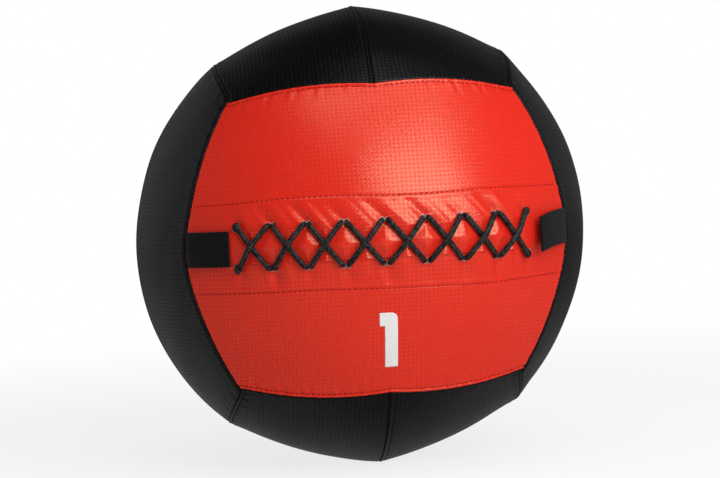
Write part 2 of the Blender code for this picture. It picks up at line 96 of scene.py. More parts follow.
# The gap between a tab's two layers, how its free end droops, how far its root follows the
# seam's curve, and the steps from its free end to its rows of stitches
LAYER_GAP = 0.00004
DROOP_POWER = 2.6
ROOT_CURVE = 0.0017
TAB_ROWS = (5, 13)
TAB_TIP_ARC = RIDGE_LENGTH - TAB_LENGTH
END_HOLE_ARC = 0.1127
END_HOLE_HEIGHT = 0.0132
HOOK_WIDTH = 0.0019
EYELET_PITCH = (END_HOLE_ARC - HOOK_WIDTH) / 4
LIFT_ON_STRIP = CLEARANCE + STRIP_THICKNESS + 0.75 * CORD_RADIUS
LIFT_OVER_STRAND = LIFT_ON_STRIP + 1.5 * CORD_RADIUS
CORD_HEIGHT = HOLE_HEIGHT - 0.0005
FACING_DEPTH = 0.0024
FACING_THICKNESS = 0.0012
DIP_SLACK = 0.0008
DIP_DEPTH = FACING_DEPTH + FACING_THICKNESS + CLEARANCE + CORD_RADIUS + DIP_SLACK
FIRST_CROSSING_GAP = 0.0015
TAIL_GAP = 0.0006
# For each stretch between two eyelets: the place from -1 to 1, the share of the lift on the
# strip, and the share of the climb over the other strand
STRETCH_SHARES = (
    (-0.965, 0.68, 0),
    (-0.87, 1.03, 0),
    (-0.6, 1, 0.31),
    (-0.13, 1, 1),
    (0.13, 1, 1),
    (0.6, 1, 0.31),
    (0.87, 1.03, 0),
    (0.965, 0.68, 0),
)
# For each dip between two holes: the place from -1 to 1 and the share of the dip's depth
DIP_SHARES = ((-1, 0), (-0.95, 0.72), (0, 1), (0.95, 0.72), (1, 0))
# Millimetres inwards and outwards from an end hole, and the share of the full lift
HOOK_SHAPE = ((0, 0, -0.9), (0.1, 0.2, -0.1), (0.9, 1.5, 0.5), (2, 2.8, 0.88), (3.5, 2.8, 1))
# Millimetres along the equator in an even lacing, and how far each place has slipped
LACING_SLIPS = np.array(
    [[-157, -110.8, -83.1, -55.4, -27.7, 0, 27.7, 55.4, 83.1, 110.8, 157],
     [0, 0.2, -0.3, -1.3, -2.4, -1.4, -0.1, 0, 0.5, 0.6, 0]]
) / 1000
# Degrees along the equator and millimetres from it, on both flaps' rows of stitches
UPPER_ROW = np.array(
    [[-52, -38, -25, -13, -3, 5, 15, 24, 37, 52],
     [28.8, 29.9, 32.3, 32.5, 31.3, 30.6, 30.9, 32.2, 31.9, 31.2]]
)
LOWER_ROW = np.array(
    [[-52, -40, -30, -17, -4, 4, 14, 22, 36, 52],
     [33.5, 34.1, 34.1, 33.4, 34.7, 35.1, 35.6, 36.2, 34.7, 32.6]]
)

# The numeral's gloss, as a share of the red vinyl's
PRINT_GLOSS = 0.5
# Puckers along a seam: radians to the metre, the shift from face to face, and the strength
PUCKER_WAVES = ((430, 1, 1), (660, 2, 0.7))
PUCKER_REACH = 0.005
CALM_EDGE = 0.02
# Folds of the laced flaps: cosines to each eyelet, the shift in radians and the strength
FOLD_WAVES = ((1, 0, 1), (2, 0.9 - math.pi / 2, 0.45), (3, 2.0 - math.pi / 2, 0.25))
FOLD_SLANTS = (-0.85, 0.12)
FOLD_SHIFTS = (0.4, 2.1)
FOLD_TUCK, FOLD_END, FOLD_FADE = 0.004, 0.012, 0.016
# Counts of a panel's lines: beside a seam, across its middle and along it
EDGE_LINES, PANEL_ROWS, PANEL_COLUMNS = 15, 34, 98
PAST_STITCHES = 0.0024
# A laced panel's cells round the holes and elsewhere, the band of its row of stitches, and
# its rows between the slot and the holes and above the band
HOLE_CELL, WIDE_CELL = 0.00038, 0.0018
ROW_BAND = (0.0275, 0.0375)
SLOT_ROWS, FLAP_ROWS = 8, 28
# Counts of the lace's, the strip's and the stitches' points
CORD_STEP, CORD_SIDES = 0.00036, 36
STRIP_COLUMNS, STRIP_ROWS = 320, 26
STITCH_RINGS, STITCH_SIDES = 7, 6

# Each face of the ball is the front face, turned
CYCLE = np.array([[0, 0, 1], [1, 0, 0], [0, 1, 0]])
HALF_TURN_Z = np.diag([-1, -1, 1])
HALF_TURN_Y = np.diag([-1, 1, -1])
FACE_TURNS = {
    "front": np.eye(3),
    "back": HALF_TURN_Z,
    "bottom": CYCLE,
    "top": HALF_TURN_Y @ CYCLE,
    "left": CYCLE @ CYCLE,
    "right": HALF_TURN_Z @ CYCLE @ CYCLE,
}
# For each face, its colour, the panel on the + side of its ridge and the one on the - side
PANELS = {
    "front": ("red", "upper", "lower"),
    "back": ("red", "upper", "lower"),
    "top": ("black", "left", "right"),
    "bottom": ("black", "right", "left"),
    "left": ("black", "back", "front"),
    "right": ("black", "front", "back"),
}


def length(name, default, description):
    """A size in metres that the user can change."""
    return FloatProperty(
        name=name, description=description, default=default, min=0.0, soft_max=0.05,
        precision=5, subtype="DISTANCE", unit="LENGTH",
    )


def signed(name, default, description):
    """A length in metres that may be negative."""
    return FloatProperty(
        name=name, description=description, default=default, subtype="DISTANCE"
    )


def angle(name, degrees, description):
    """An angle that the user can change."""
    return FloatProperty(
        name=name, description=description, default=math.radians(degrees), subtype="ANGLE"
    )


def number(name, default, description):
    """A plain number that the user can change."""
    return FloatProperty(name=name, description=description, default=default)


def count_of(name, default, least, description):
    """A whole number that the user can change."""
    return IntProperty(name=name, description=description, default=default, min=least)


def share(name, default, description):
    """A number from 0 to 1 that the user can change."""
    return FloatProperty(name=name, description=description, default=default, min=0.0, max=1.0)


def tint(name, default, description):
    """A colour that the user can change."""
    return FloatVectorProperty(
        name=name, description=description, default=default, size=4, min=0.0, max=1.0,
        subtype="COLOR",
    )


class CoverSettings(bpy.types.PropertyGroup):
    """Sizes and colours of the sewn vinyl cover."""

    thickness: length("Thickness", 0.0014, "Thickness of the vinyl sheet")
    groove_depth: length("Groove depth", 0.0009, "How far an edge turns down into its seam")
    groove_width: length("Groove width", 0.0011, "How far from the seam the edge starts to turn")
    lip_rise: length("Lip rise", 0.00055, "Rise of the folded allowance beside a seam")
    stitch_inset: length("Stitch inset", 0.0027, "Distance from a seam to its top stitching")
    ridge_inset: length("Ridge inset", 0.0034, "Distance from a ridge seam to its stitching")
    stitch_sink: length("Stitch sink", 0.0004, "How deep the thread is drawn into the vinyl")
    pucker: length("Pucker", 0.00016, "Height of the small puckers along a seam")
    dents: length("Dents", 0.00035, "Height of the broad soft unevenness of a panel")
    check: length("Check", 0.0032, "Distance between like squares of the embossed weave")
    red_weave: length("Red weave", 0.000045, "How far each square of the red vinyl arches")
    black_weave: length("Black weave", 0.00014, "How far each square of the black vinyl arches")
    rib_rise: length("Rib rise", 0.000005, "Height of the fine ribs inside a square")
    ribs: count_of("Ribs", 7, 1, "Fine ribs across a square")
    red_gloss: share("Red gloss", 0.56, "Strength of the red vinyl's gloss")
    black_gloss: share("Black gloss", 0.23, "Strength of the black vinyl's gloss")
    contrast: share("Contrast", 0.32, "How much glossier one kind of square is than the other")
    roughness: share("Roughness", 0.22, "Roughness of the vinyl's gloss")
    red_matting: share("Red matting", 0.05, "How much rougher every second red square is")
    black_matting: share("Black matting", 0.11, "How much rougher every second black square is")
    red: tint("Red", (0.62, 0.018, 0.009, 1.0), "Colour of the red vinyl")
    black: tint("Black", (0.0022, 0.0022, 0.0024, 1.0), "Colour of the black vinyl")
    red_glint: tint("Red glint", (1.0, 0.95, 0.64, 1.0), "Colour of the red vinyl's highlights")
    # Pale partly as the vinyl's own backing at the cut and partly as a painted highlight on the
    # holes' rims.
    cut_edge: tint("Cut edge", (0.80, 0.52, 0.47, 1.0), "Colour of the vinyl's cut edge")


class ThreadSettings(bpy.types.PropertyGroup):
    """Sizes and colours of the sewing thread."""

    pitch: length("Stitch pitch", 0.0039, "Distance from one stitch to the next")
    gap: length("Stitch gap", 0.0009, "Gap between two stitches, where the thread goes down")
    radius: length("Thread radius", 0.00034, "Radius of the sewing thread")
    red: tint("Red thread", (0.36, 0.004, 0.003, 1.0), "Colour of the thread on red vinyl")
    black: tint("Black thread", (0.011, 0.011, 0.012, 1.0), "Colour of the thread on black vinyl")


class LacingSettings(bpy.types.PropertyGroup):
    """Sizes and colours of the lace and the pulled flaps under it."""

    carriers: count_of("Carriers", 6, 3, "Strands of the braid that turn each way")
    lay: length("Lay", 0.0115, "Length of cord in which a strand goes once round")
    relief: length("Braid relief", 0.00048, "How far the braid's strands stand out")
    pull: length("Pull", 0.0012, "How far the flaps are drawn in at the eyelets")
    bulge: length("Bulge", 0.0013, "How far the cover strip swells inside each diamond")
    press: length("Press", 0.0006, "How far the lace presses the cover strip in")
    flatten: share("Flatten", 0.25, "How much the cord flattens where two strands cross")
    rim: length("Rim", 0.00045, "How far the vinyl stands up round a lace hole")
    # Colour of the lace's painted highlights; the lace itself is this colour at 0.008 of it.
    cord: tint("Cord", (0.16, 0.16, 0.164, 1.0), "Colour of the lace")


class TabSettings(bpy.types.PropertyGroup):
    """Sizes and colours of the two webbing tabs."""

    layer: length("Layer", 0.00112, "Thickness of one layer of webbing")
    left_lift: angle("Left lift", 0, "How far the left tab stands off")
    right_lift: angle("Right lift", 8, "How far the right tab stands off")
    left_level: signed("Left level", -0.0019, "Height of the left tab over the equator")
    right_level: signed("Right level", 0.0013, "Height of the right tab's root over the equator")
    right_droop: length("Right droop", 0.0046, "How far the right tab's free end hangs down")
    colour: tint("Webbing", (0.003, 0.003, 0.0032, 1.0), "Colour of the webbing")


class NumeralSettings(bpy.types.PropertyGroup):
    """Sizes and colours of the printed weight numeral."""

    height: length("Height", 0.0429, "Height of the numeral")
    stem: length("Stem", 0.0093, "Width of the numeral's stem")
    flag: length("Flag", 0.0037, "How far the flag reaches out from the stem")
    flag_height: length("Flag height", 0.0102, "Height of the flag")
    corner: length("Corner", 0.0048, "Radius of the rounded corner")
    film: length("Film", 0.00008, "Thickness of the print")
    left: signed("Left", -0.0039, "Place of the stem's left edge on the cloth")
    top: length("Top", 0.0533, "Distance of the numeral's top from the face's middle line")
    white: tint("White", (0.70, 0.68, 0.675, 1.0), "Colour of the print")


class PaddingSettings(bpy.types.PropertyGroup):
    """Colours of what lies inside the cover."""

    backing: tint("Backing", (0.45, 0.44, 0.42, 1.0), "Colour of the facing cloth")
    foam: tint("Foam", (0.55, 0.53, 0.45, 1.0), "Colour of the foam pads")
    liner: tint("Liner", (0.70, 0.70, 0.68, 1.0), "Colour of the liner bag")
    fibre: tint("Fibre", (0.30, 0.30, 0.33, 1.0), "Colour of the stuffing")


class StageSettings(bpy.types.PropertyGroup):
    """Floor, lamps and camera."""

    floor: tint("Floor", (0.88, 0.88, 0.88, 1.0), "Colour of the floor")
    key_power: number("Key", 22.0, "Power of the key lamp")
    low_power: number("Low", 7.8, "Power of the low lamp")
    top_power: number("Top", 11.5, "Power of the top lamp")
    world: share("World", 0.29, "Strength of the light from all round")
    distance: signed("Camera distance", 1.478, "Distance from the camera to the ball's centre")
    lens: number("Lens", 93.87, "Focal length in millimetres")


def unit(vectors):
    """Each vector divided by its length."""
    return vectors / np.linalg.norm(vectors, axis=-1, keepdims=True)


def smooth(step):
    """A step from 0 to 1 with no corner at its ends: three squares less two cubes."""
    step = np.clip(step, 0, 1)
    return step * step * (3 - 2 * step)


def bell(distance, width):
    """A bell curve: 1 at no distance, and 1 / e at the width."""
    return np.exp(-((distance / width) ** 2))


def between(low, high, count):
    """Even places between two others, without those."""
    return np.linspace(low, high, count + 2)[1:-1]


def lengths_along(points):
    """How far along a line of points each one lies."""
    return np.concatenate([[0], np.cumsum(np.linalg.norm(np.diff(points, axis=0), axis=1))])


def circles(side, over, angles):
    """A circle of radius 1 at each point, from two directions there that are square to each
    other, as many points as there are angles."""
    cosines, sines = np.cos(angles)[..., None], np.sin(angles)[..., None]
    return cosines * side[..., None, :] + sines * over[..., None, :]


def read_line(places, along, points):
    """A line of points, read in proportion at places along it."""
    return np.stack([np.interp(places, along, points[:, axis]) for axis in range(3)], -1)


def side_seam(t):
    """Directions up the seam between the front and right faces: a cube's upright edge, turned
    about Z by a bow that is widest in the middle (t = 0) and gone at the corners (t = -1, 1)."""
    height = CORNER_ANGLE * t
    turn = math.radians(45) + SEAM_BOW * np.clip(1 - np.abs(t), 0, 1) ** SEAM_BOW_POWER
    across = np.cos(height)
    return np.stack([across * np.sin(turn), -across * np.cos(turn), np.sin(height)], -1)


def crown_seam(u):
    """Directions along the seam between the front and top faces: the side seam, permuted."""
    seam = side_seam(u)
    return np.stack([seam[..., 2], -seam[..., 0], -seam[..., 1]], -1)


def ridge(u):
    """Directions along a face's middle line, a part of the equator."""
    return np.stack([np.sin(RIDGE_ANGLE * u), -np.cos(RIDGE_ANGLE * u), 0 * u], -1)


def face_directions(u, v):
    """Directions on the front face: the Coons patch of ridge, crown seam and two side seams
    (the sum of the two ruled surfaces less the bilinear one), brought back to length 1."""
    rise = np.abs(v)[..., None]
    along = ((u + 1) / 2)[..., None]
    right = side_seam(np.abs(v))
    left = right * [-1, 1, 1]
    ends = np.ones_like(u)
    near = (1 - along) * ridge(-ends) + along * ridge(ends)
    far = (1 - along) * crown_seam(-ends) + along * crown_seam(ends)
    ruled = (1 - rise) * ridge(u) + rise * crown_seam(u)
    sides = (1 - along) * left + along * right
    patch = unit(ruled + sides - (1 - rise) * near - rise * far)
    patch[..., 2] *= np.where(v < 0, -1, 1)
    return patch


def face_radius(u, v, ridge_rise):
    """The solid's radius: seams stand out, corners further, and a panel's middle is flatter by
    a parabola across the panel that dies out with the fourth power towards its two ends."""
    rise = np.abs(v)
    inside = 1 - u**4
    seams = SEAM_RISE + CORNER_RISE * u**2 * rise**2
    ridge_change = (ridge_rise - SEAM_RISE) * (1 - rise) ** 3 * inside
    drop = PANEL_DROP * 4 * rise * (1 - rise) * inside
    return BALL_RADIUS + seams + ridge_change - drop


def lean(directions):
    """The factor that stretches the ball along one upright diagonal and narrows the other."""
    long_axis = np.array([math.cos(LEAN_ANGLE), 0, math.sin(LEAN_ANGLE)])
    short_axis = np.array([-math.sin(LEAN_ANGLE), 0, math.cos(LEAN_ANGLE)])
    return 1 + LEAN_SHARE * ((directions @ long_axis) ** 2 - (directions @ short_axis) ** 2)


def sagged(directions):
    """The directions near the front's side seams, turned outwards about Z: a bell curve in the
    longitude times one in the height, highest a little below the equator."""
    x, y, z = directions[..., 0], directions[..., 1], directions[..., 2]
    longitude = np.arctan2(x, -y)
    near = bell(np.abs(longitude) - RIDGE_ANGLE, SAG_WIDTH) * bell(z - SAG_LEVEL, SAG_REACH)
    turn = SEAM_SAG * np.sign(longitude) * near
    cosine, sine = np.cos(turn), np.sin(turn)
    return np.stack([cosine * x - sine * y, sine * x + cosine * y, z], -1)


def solid_points(face, u, v, lift):
    """Points over the plain solid, in the frame: direction times (radius times lean + lift),
    moved to the ball's centre, and never below the floor."""
    directions = face_directions(u, v) @ FACE_TURNS[face].T
    if face == "front":
        round_v = np.hypot(v, FRONT_ROUNDING) + np.abs(v) * (1 - math.hypot(1, FRONT_ROUNDING))
        radius = face_radius(u, round_v, LACED_RISE)
    else:
        radius = face_radius(u, v, SEAM_RISE)
    radius = radius * lean(directions) + lift
    points = sagged(directions) * radius[..., None] + CENTRE
    return np.concatenate([points[..., :2], np.maximum(points[..., 2:], 0)], -1)


def face_angles(u, v):
    """Longitude and latitude on the front face, before it is turned to its own face."""
    directions = face_directions(u, v)
    return np.arctan2(directions[..., 0], -directions[..., 1]), np.arcsin(directions[..., 2])


def angle_place(longitude, latitude):
    """The u and v of a longitude and latitude on the front face, by repeated correction of a
    first guess that takes the face as a rectangle."""
    u = longitude / RIDGE_ANGLE
    v = latitude / CROWN_ANGLE
    for _ in range(30):
        reached = face_angles(u, v)
        u = u + (longitude - reached[0]) / RIDGE_ANGLE
        v = v + (latitude - reached[1]) / CROWN_ANGLE
    return u, v


def front_place(arc, height):
    """The u and v where the front face is arc along the equator and height above it."""
    return angle_place(arc / BALL_RADIUS, np.arcsin(height / BALL_RADIUS))


def lacing_place(arc, height):
    """The same for a place in an even lacing: its arc slips along the flap, and its height
    counts from the lacing's own middle line."""
    return front_place(arc + np.interp(arc, *LACING_SLIPS), height - LACING_DROP)


def even_arc(arc):
    """The place in an even lacing of an arc on the flap."""
    return np.interp(arc, LACING_SLIPS.sum(0), LACING_SLIPS[0])


def crowd(places):
    """Even table steps for places from 0 to 1, crowded towards 1 as a square."""
    return 1 - np.sqrt(np.clip(1 - np.abs(places), 0, 1))


def seam_tables(count=90):
    """Distances from the points of a quarter face to its side seam and to its crown seam: the
    least distance to the straight pieces of a finely divided seam."""
    places = 1 - (1 - np.linspace(0, 1, count)) ** 2
    u, v = np.meshgrid(places, places, indexing="ij")
    points = face_directions(u, v).reshape(-1, 1, 3)
    along = np.linspace(-1, 1, 401)
    tables = []
    for seam in (side_seam(along), crown_seam(along)):
        start, piece = seam[:-1], np.diff(seam, axis=0)
        share_of = np.clip(np.sum((points - start) * piece, -1) / np.sum(piece**2, -1), 0, 1)
        away = np.linalg.norm(points - start - share_of[..., None] * piece, axis=-1).min(1)
        tables.append(away.reshape(count, count) * BALL_RADIUS)
    return tables


SEAM_TABLES = seam_tables()


def table_value(table, u, v):
    """A table read between its lines, in proportion."""
    last = len(table) - 1
    u, v = np.broadcast_arrays(crowd(u) * last, crowd(v) * last)
    i, j = np.minimum(u.astype(int), last - 1), np.minimum(v.astype(int), last - 1)
    a, b = u - i, v - j
    near = table[i, j] * (1 - a) + table[i + 1, j] * a
    far = table[i, j + 1] * (1 - a) + table[i + 1, j + 1] * a
    return near * (1 - b) + far * b


def side_distance(u, v):
    """Distance to the side seam."""
    return table_value(SEAM_TABLES[0], u, v)


def crown_distance(u, v):
    """Distance to the crown seam."""
    return table_value(SEAM_TABLES[1], u, v)


def ridge_distance(u, v):
    """Distance to the face's middle line, which lies on the face's own equator."""
    u, v = np.broadcast_arrays(u, v)
    return np.abs(face_angles(u, v)[1]) * BALL_RADIUS


def place_at(measure, target, along):
    """The place from 0 to 1 at which a measure that falls with the place reaches the target,
    by halving; there is one for each target and each entry of along."""
    target, along = np.broadcast_arrays(target, along)
    low, high = np.zeros(target.shape), np.ones(target.shape)
    for _ in range(24):
        middle = (low + high) / 2
        short = measure(middle) > target
        low, high = np.where(short, middle, low), np.where(short, high, middle)
    return (low + high) / 2


def side_place(v, distance):
    """The u at a distance from the side seam, for each v."""
    return place_at(lambda u: side_distance(u, v), distance, v)


def crown_place(u, distance):
    """The v at a distance from the crown seam, for each u."""
    return place_at(lambda v: crown_distance(u, v), distance, u)


def ridge_place(u, distance):
    """The v at a distance from the middle line, for each u."""
    return place_at(lambda v: -ridge_distance(u, v), -distance, u)


def edge_profile(distance, inset, cover):
    """Lift beside a seam: a square fall into the groove and, where the allowance is folded and
    stitched on this side, a half-wave rise up to the stitch row, a narrow dip at the row and a
    low swell past it."""
    dip_width, swell_place, swell_width = 0.0005, 0.0026, 0.0016
    roll = -cover.groove_depth * np.clip(1 - distance / cover.groove_width, 0, 1) ** 2
    if not inset:
        return roll
    past_row = distance - inset
    lip = cover.lip_rise * np.sin(np.pi * np.clip(distance / inset, 0, 1) ** 0.75)
    dip = cover.stitch_sink * bell(past_row, dip_width)
    swell = 0.45 * cover.lip_rise * bell(past_row - swell_place, swell_width)
    return roll + lip - dip + swell


def soft_dents(directions):
    """Broad unevenness: a sum of sine waves through space in fixed chance directions."""
    chance = np.random.default_rng(11)
    shortest, longest = 0.045, 0.12
    total = np.zeros(directions.shape[:-1])
    for _ in range(9):
        wave = unit(chance.normal(size=3)) * 2 * math.pi / chance.uniform(shortest, longest)
        total += np.sin(directions @ wave * BALL_RADIUS + chance.uniform(0, 6.28))
    return total / 3


def row_height(longitude, side):
    """Distance of a flap's row of stitches from the equator, read between the row's points and
    evened out over ten degrees."""
    degrees = np.degrees(longitude)[..., None] + np.linspace(-5, 5, 9)
    row = UPPER_ROW if side > 0 else LOWER_ROW
    return np.interp(degrees, *row).mean(-1) / 1000


def hole_places():
    """The arc and height of every lace hole in a flap, from left to right."""
    places = [(-END_HOLE_ARC, END_HOLE_HEIGHT)]
    for eyelet in range(-3, 4):
        for across in (-HOLE_OFFSET, HOLE_OFFSET):
            places.append((eyelet * EYELET_PITCH + across, HOLE_HEIGHT))
    return places + [(END_HOLE_ARC, END_HOLE_HEIGHT)]


def flap_relief(u, v, settings):
    """Lift of the laced flaps: folds that run from the eyelets to the stitch row as slanted
    cosines along the arc under a half-wave envelope, a rim round each hole, the row's dip and a
    low band beside it."""
    cover, lacing = settings
    dip_width, band_place, band_width = 0.0006, 0.002, 0.0014
    rim_place, rim_width = HOLE_RADIUS + RIM_GAP, RIM_WIDTH
    longitude, latitude = face_angles(u, v)
    arc = even_arc(longitude * BALL_RADIUS)
    upper = v > 0
    side = np.where(upper, 1, -1)
    height = side * (np.sin(latitude) * BALL_RADIUS + LACING_DROP)
    row = np.where(upper, row_height(longitude, 1), row_height(longitude, -1))
    row = row + side * LACING_DROP
    start = STRIP_WIDTH / 2 - FOLD_TUCK
    reach = np.clip((height - start) / (row - start), 0, 1)
    envelope = np.sin(np.pi * reach**0.7) ** 1.2
    slant = np.where(upper, *FOLD_SLANTS)
    phase = (arc - slant * (height - HOLE_HEIGHT)) / EYELET_PITCH
    uneven = 0.7 + 0.3 * np.sin(2.3 * np.round(phase) + np.where(upper, *FOLD_SHIFTS))
    wave = sum(
        strength * np.cos(2 * np.pi * turns * phase + shift)
        for turns, shift, strength in FOLD_WAVES
    )
    fade = smooth((END_HOLE_ARC + FOLD_END - np.abs(arc)) / FOLD_FADE)
    folds = -lacing.pull * uneven * envelope * wave * fade
    dip = cover.stitch_sink * bell(height - row, dip_width)
    band = 0.5 * cover.lip_rise * bell(row - height - band_place, band_width)
    rim = np.zeros_like(arc)
    for place, up in hole_places():
        away = np.hypot(arc - place, height - up)
        rim = np.maximum(rim, bell(away - rim_place, rim_width))
    return folds - dip + band + lacing.rim * rim


def relief(face, u, v, settings):
    """How far the sewn cover stands off the plain solid."""
    cover = settings[0]
    side, crown = side_distance(u, v), crown_distance(u, v)
    lift = edge_profile(side, 0, cover) + edge_profile(crown, cover.stitch_inset, cover)
    if face == "front":
        lift = lift + flap_relief(u, v, settings)
    else:
        middle = ridge_distance(u, v)
        upper = edge_profile(middle, cover.ridge_inset, cover)
        lower = edge_profile(middle, 0, cover)
        lift = lift + np.where(v > 0, upper, lower)
    directions = face_directions(u, v) @ FACE_TURNS[face].T
    shift = list(FACE_TURNS).index(face)
    for distance, along in ((side, v * CROWN_LENGTH), (crown, u * RIDGE_LENGTH)):
        waves = sum(
            strength * np.sin(along * turns + by_face * shift)
            for turns, by_face, strength in PUCKER_WAVES
        )
        lift = lift + cover.pucker * bell(distance - PUCKER_REACH, PUCKER_REACH) * waves
    calm = np.clip(np.minimum(side, crown) / CALM_EDGE, 0, 1)
    return lift + cover.dents * calm * soft_dents(directions)


def cover_points(face, u, v, lift, settings):
    """Points over the finished cover of one face."""
    return solid_points(face, u, v, relief(face, u, v, settings) + lift)


def cloth_places(u, v):
    """Where a point lies on the flat cloth, in metres: along its own parallel and up its own
    meridian, so that the weave keeps its size over the whole panel."""
    longitude, latitude = face_angles(u, v)
    return np.stack([longitude * np.cos(latitude), latitude], -1) * BALL_RADIUS


def grid_quads(rows, columns, keep=None, wrap=False):
    """Quads over a grid of points numbered row by row; keep picks cells, and wrap joins the
    last column to the first."""
    count = columns if wrap else columns - 1
    row, column = np.meshgrid(np.arange(rows - 1), np.arange(count), indexing="ij")
    after = (column + 1) % columns
    near, far = row * columns, (row + 1) * columns
    quads = np.stack([near + column, near + after, far + after, far + column], -1)
    if keep is not None:
        quads = quads[keep]
    return quads.reshape(-1, 4)


def add_object(name, data):
    """A new object in the scene."""
    piece = bpy.data.objects.new(name, data)
    bpy.context.scene.collection.objects.link(piece)
    return piece


def make_piece(name, points, quads, material, cloth=None, centre=CENTRE):
    """A smooth mesh object from whole arrays: unused points are dropped, and the faces are
    turned away from the centre where one is given."""
    points = np.asarray(points, float).reshape(-1, 3)
    used, quads = np.unique(quads, return_inverse=True)
    quads = quads.reshape(-1, 4)
    points = points[used]
    if centre is not None:
        corners = points[quads]
        normals = np.cross(corners[:, 2] - corners[:, 0], corners[:, 3] - corners[:, 1])
        if np.sum(normals * (corners.mean(1) - centre)) < 0:
            quads = quads[:, ::-1]
    mesh = bpy.data.meshes.new(name)
    mesh.vertices.add(len(points))
    mesh.vertices.foreach_set("co", points.ravel())
    mesh.loops.add(quads.size)
    mesh.loops.foreach_set("vertex_index", quads.ravel().astype(np.int32))
    mesh.polygons.add(len(quads))
    mesh.polygons.foreach_set("loop_start", np.arange(0, quads.size, 4, dtype=np.int32))
    mesh.update(calc_edges=True)
    if cloth is not None:
        layer = mesh.uv_layers.new(name="cloth")
        places = np.asarray(cloth, float).reshape(-1, 2)[used][quads.ravel()]
        layer.data.foreach_set("uv", places.ravel())
    if mesh.validate():
        raise RuntimeError(f"{name} has broken faces")
    mesh.shade_smooth()
    mesh.materials.append(material)
    return add_object(name, mesh)


def add_wall(piece, thickness):
    """A wall of even thickness behind a sheet."""
    wall = piece.modifiers.new("wall", "SOLIDIFY")
    wall.thickness = thickness
    wall.offset = -1
    wall.use_even_offset = False


def mount(piece, body, slot, *nodes):
    """Puts a piece on its body and hides the solids that it stands for."""
    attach(piece, body)
    if nodes:
        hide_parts(*nodes)
    return piece


# Materials


class Shade:
    """A node's output; arithmetic written with it becomes Math nodes."""

    def __init__(self, tree, source):
        self.tree, self.source = tree, source

    def math(self, operation, *others):
        """A Math node over this number and the others."""
        return made(self.tree, "Math", (self, *others), operation=operation)

    def __add__(self, other):
        return self.math("ADD", other)

    def __sub__(self, other):
        return self.math("SUBTRACT", other)

    def __mul__(self, other):
        return self.math("MULTIPLY", other)

    def __truediv__(self, other):
        return self.math("DIVIDE", other)

    def __pow__(self, other):
        return self.math("POWER", other)

    def __abs__(self):
        return self.math("ABSOLUTE")

    def sine(self):
        """The sine of this number of radians."""
        return self.math("SINE")

    def wave(self, pitch):
        """The sine of this length, with one full wave to each pitch."""
        return (self * (2 * math.pi / pitch)).sine()

    def span(self, low, high, to_low=0.0, to_high=1.0):
        """This number, mapped from one range to another and clamped."""
        return made(self.tree, "MapRange", (self, low, high, to_low, to_high))


def put(tree, node, entry, value):
    """Links or sets one input of a node."""
    value = getattr(value, "source", value)
    if isinstance(value, bpy.types.NodeSocket):
        tree.links.new(value, node.inputs[entry])
    else:
        node.inputs[entry].default_value = value


def made(tree, kind, inputs=(), output=0, **values):
    """One output of a new node, whose settings and inputs are filled in. Inputs come in order,
    or under their names or numbers."""
    node = tree.nodes.new("ShaderNode" + kind)
    for name, value in values.items():
        setattr(node, name, value)
    for entry, value in inputs.items() if isinstance(inputs, dict) else enumerate(inputs):
        put(tree, node, entry, value)
    return Shade(tree, node.outputs[output])


def mixed(tree, factor, first, second):
    """The first number where the factor is 0 and the second where it is 1."""
    return made(tree, "Mix", {0: factor, 2: first, 3: second})


def noise(tree, scale, detail=3.0):
    """Cloudy noise through the object."""
    inputs = {"Vector": object_places(tree), "Scale": scale, "Detail": detail}
    return made(tree, "TexNoise", inputs)


def object_places(tree):
    """Object coordinates, which are metres in the frame."""
    return made(tree, "TexCoord", output="Object")


def axes_of(tree, vector, count=3):
    """The first numbers of a vector."""
    apart = made(tree, "SeparateXYZ", (vector,)).source.node
    return [Shade(tree, output) for output in apart.outputs[:count]]


def cloth_axes(tree):
    """The two metre coordinates of the cloth map."""
    return axes_of(tree, made(tree, "UVMap", uv_map="cloth"), 2)


def start_material(name, roughness, specular=0.5):
    """A new material, its node tree and its shader."""
    material = bpy.data.materials.new(name)
    material.use_nodes = True
    shader = material.node_tree.nodes["Principled BSDF"]
    shader.inputs["Roughness"].default_value = roughness
    shader.inputs["Specular IOR Level"].default_value = specular
    return material, material.node_tree, shader


def bump(tree, shader, height):
    """Bump from a height in metres."""
    inputs = {"Strength": 1.0, "Distance": 1.0, "Height": height}
    put(tree, shader, "Normal", made(tree, "Bump", inputs))


def paint(tree, shader, colour, factor, darker):
    """The colour, darkened to a share of itself where the factor is 0."""
    dark = [value * darker for value in colour[:3]] + [1]
    inputs = {0: factor, 6: dark, 7: colour}
    put(tree, shader, "Base Color", made(tree, "Mix", inputs, output=2, data_type="RGBA"))


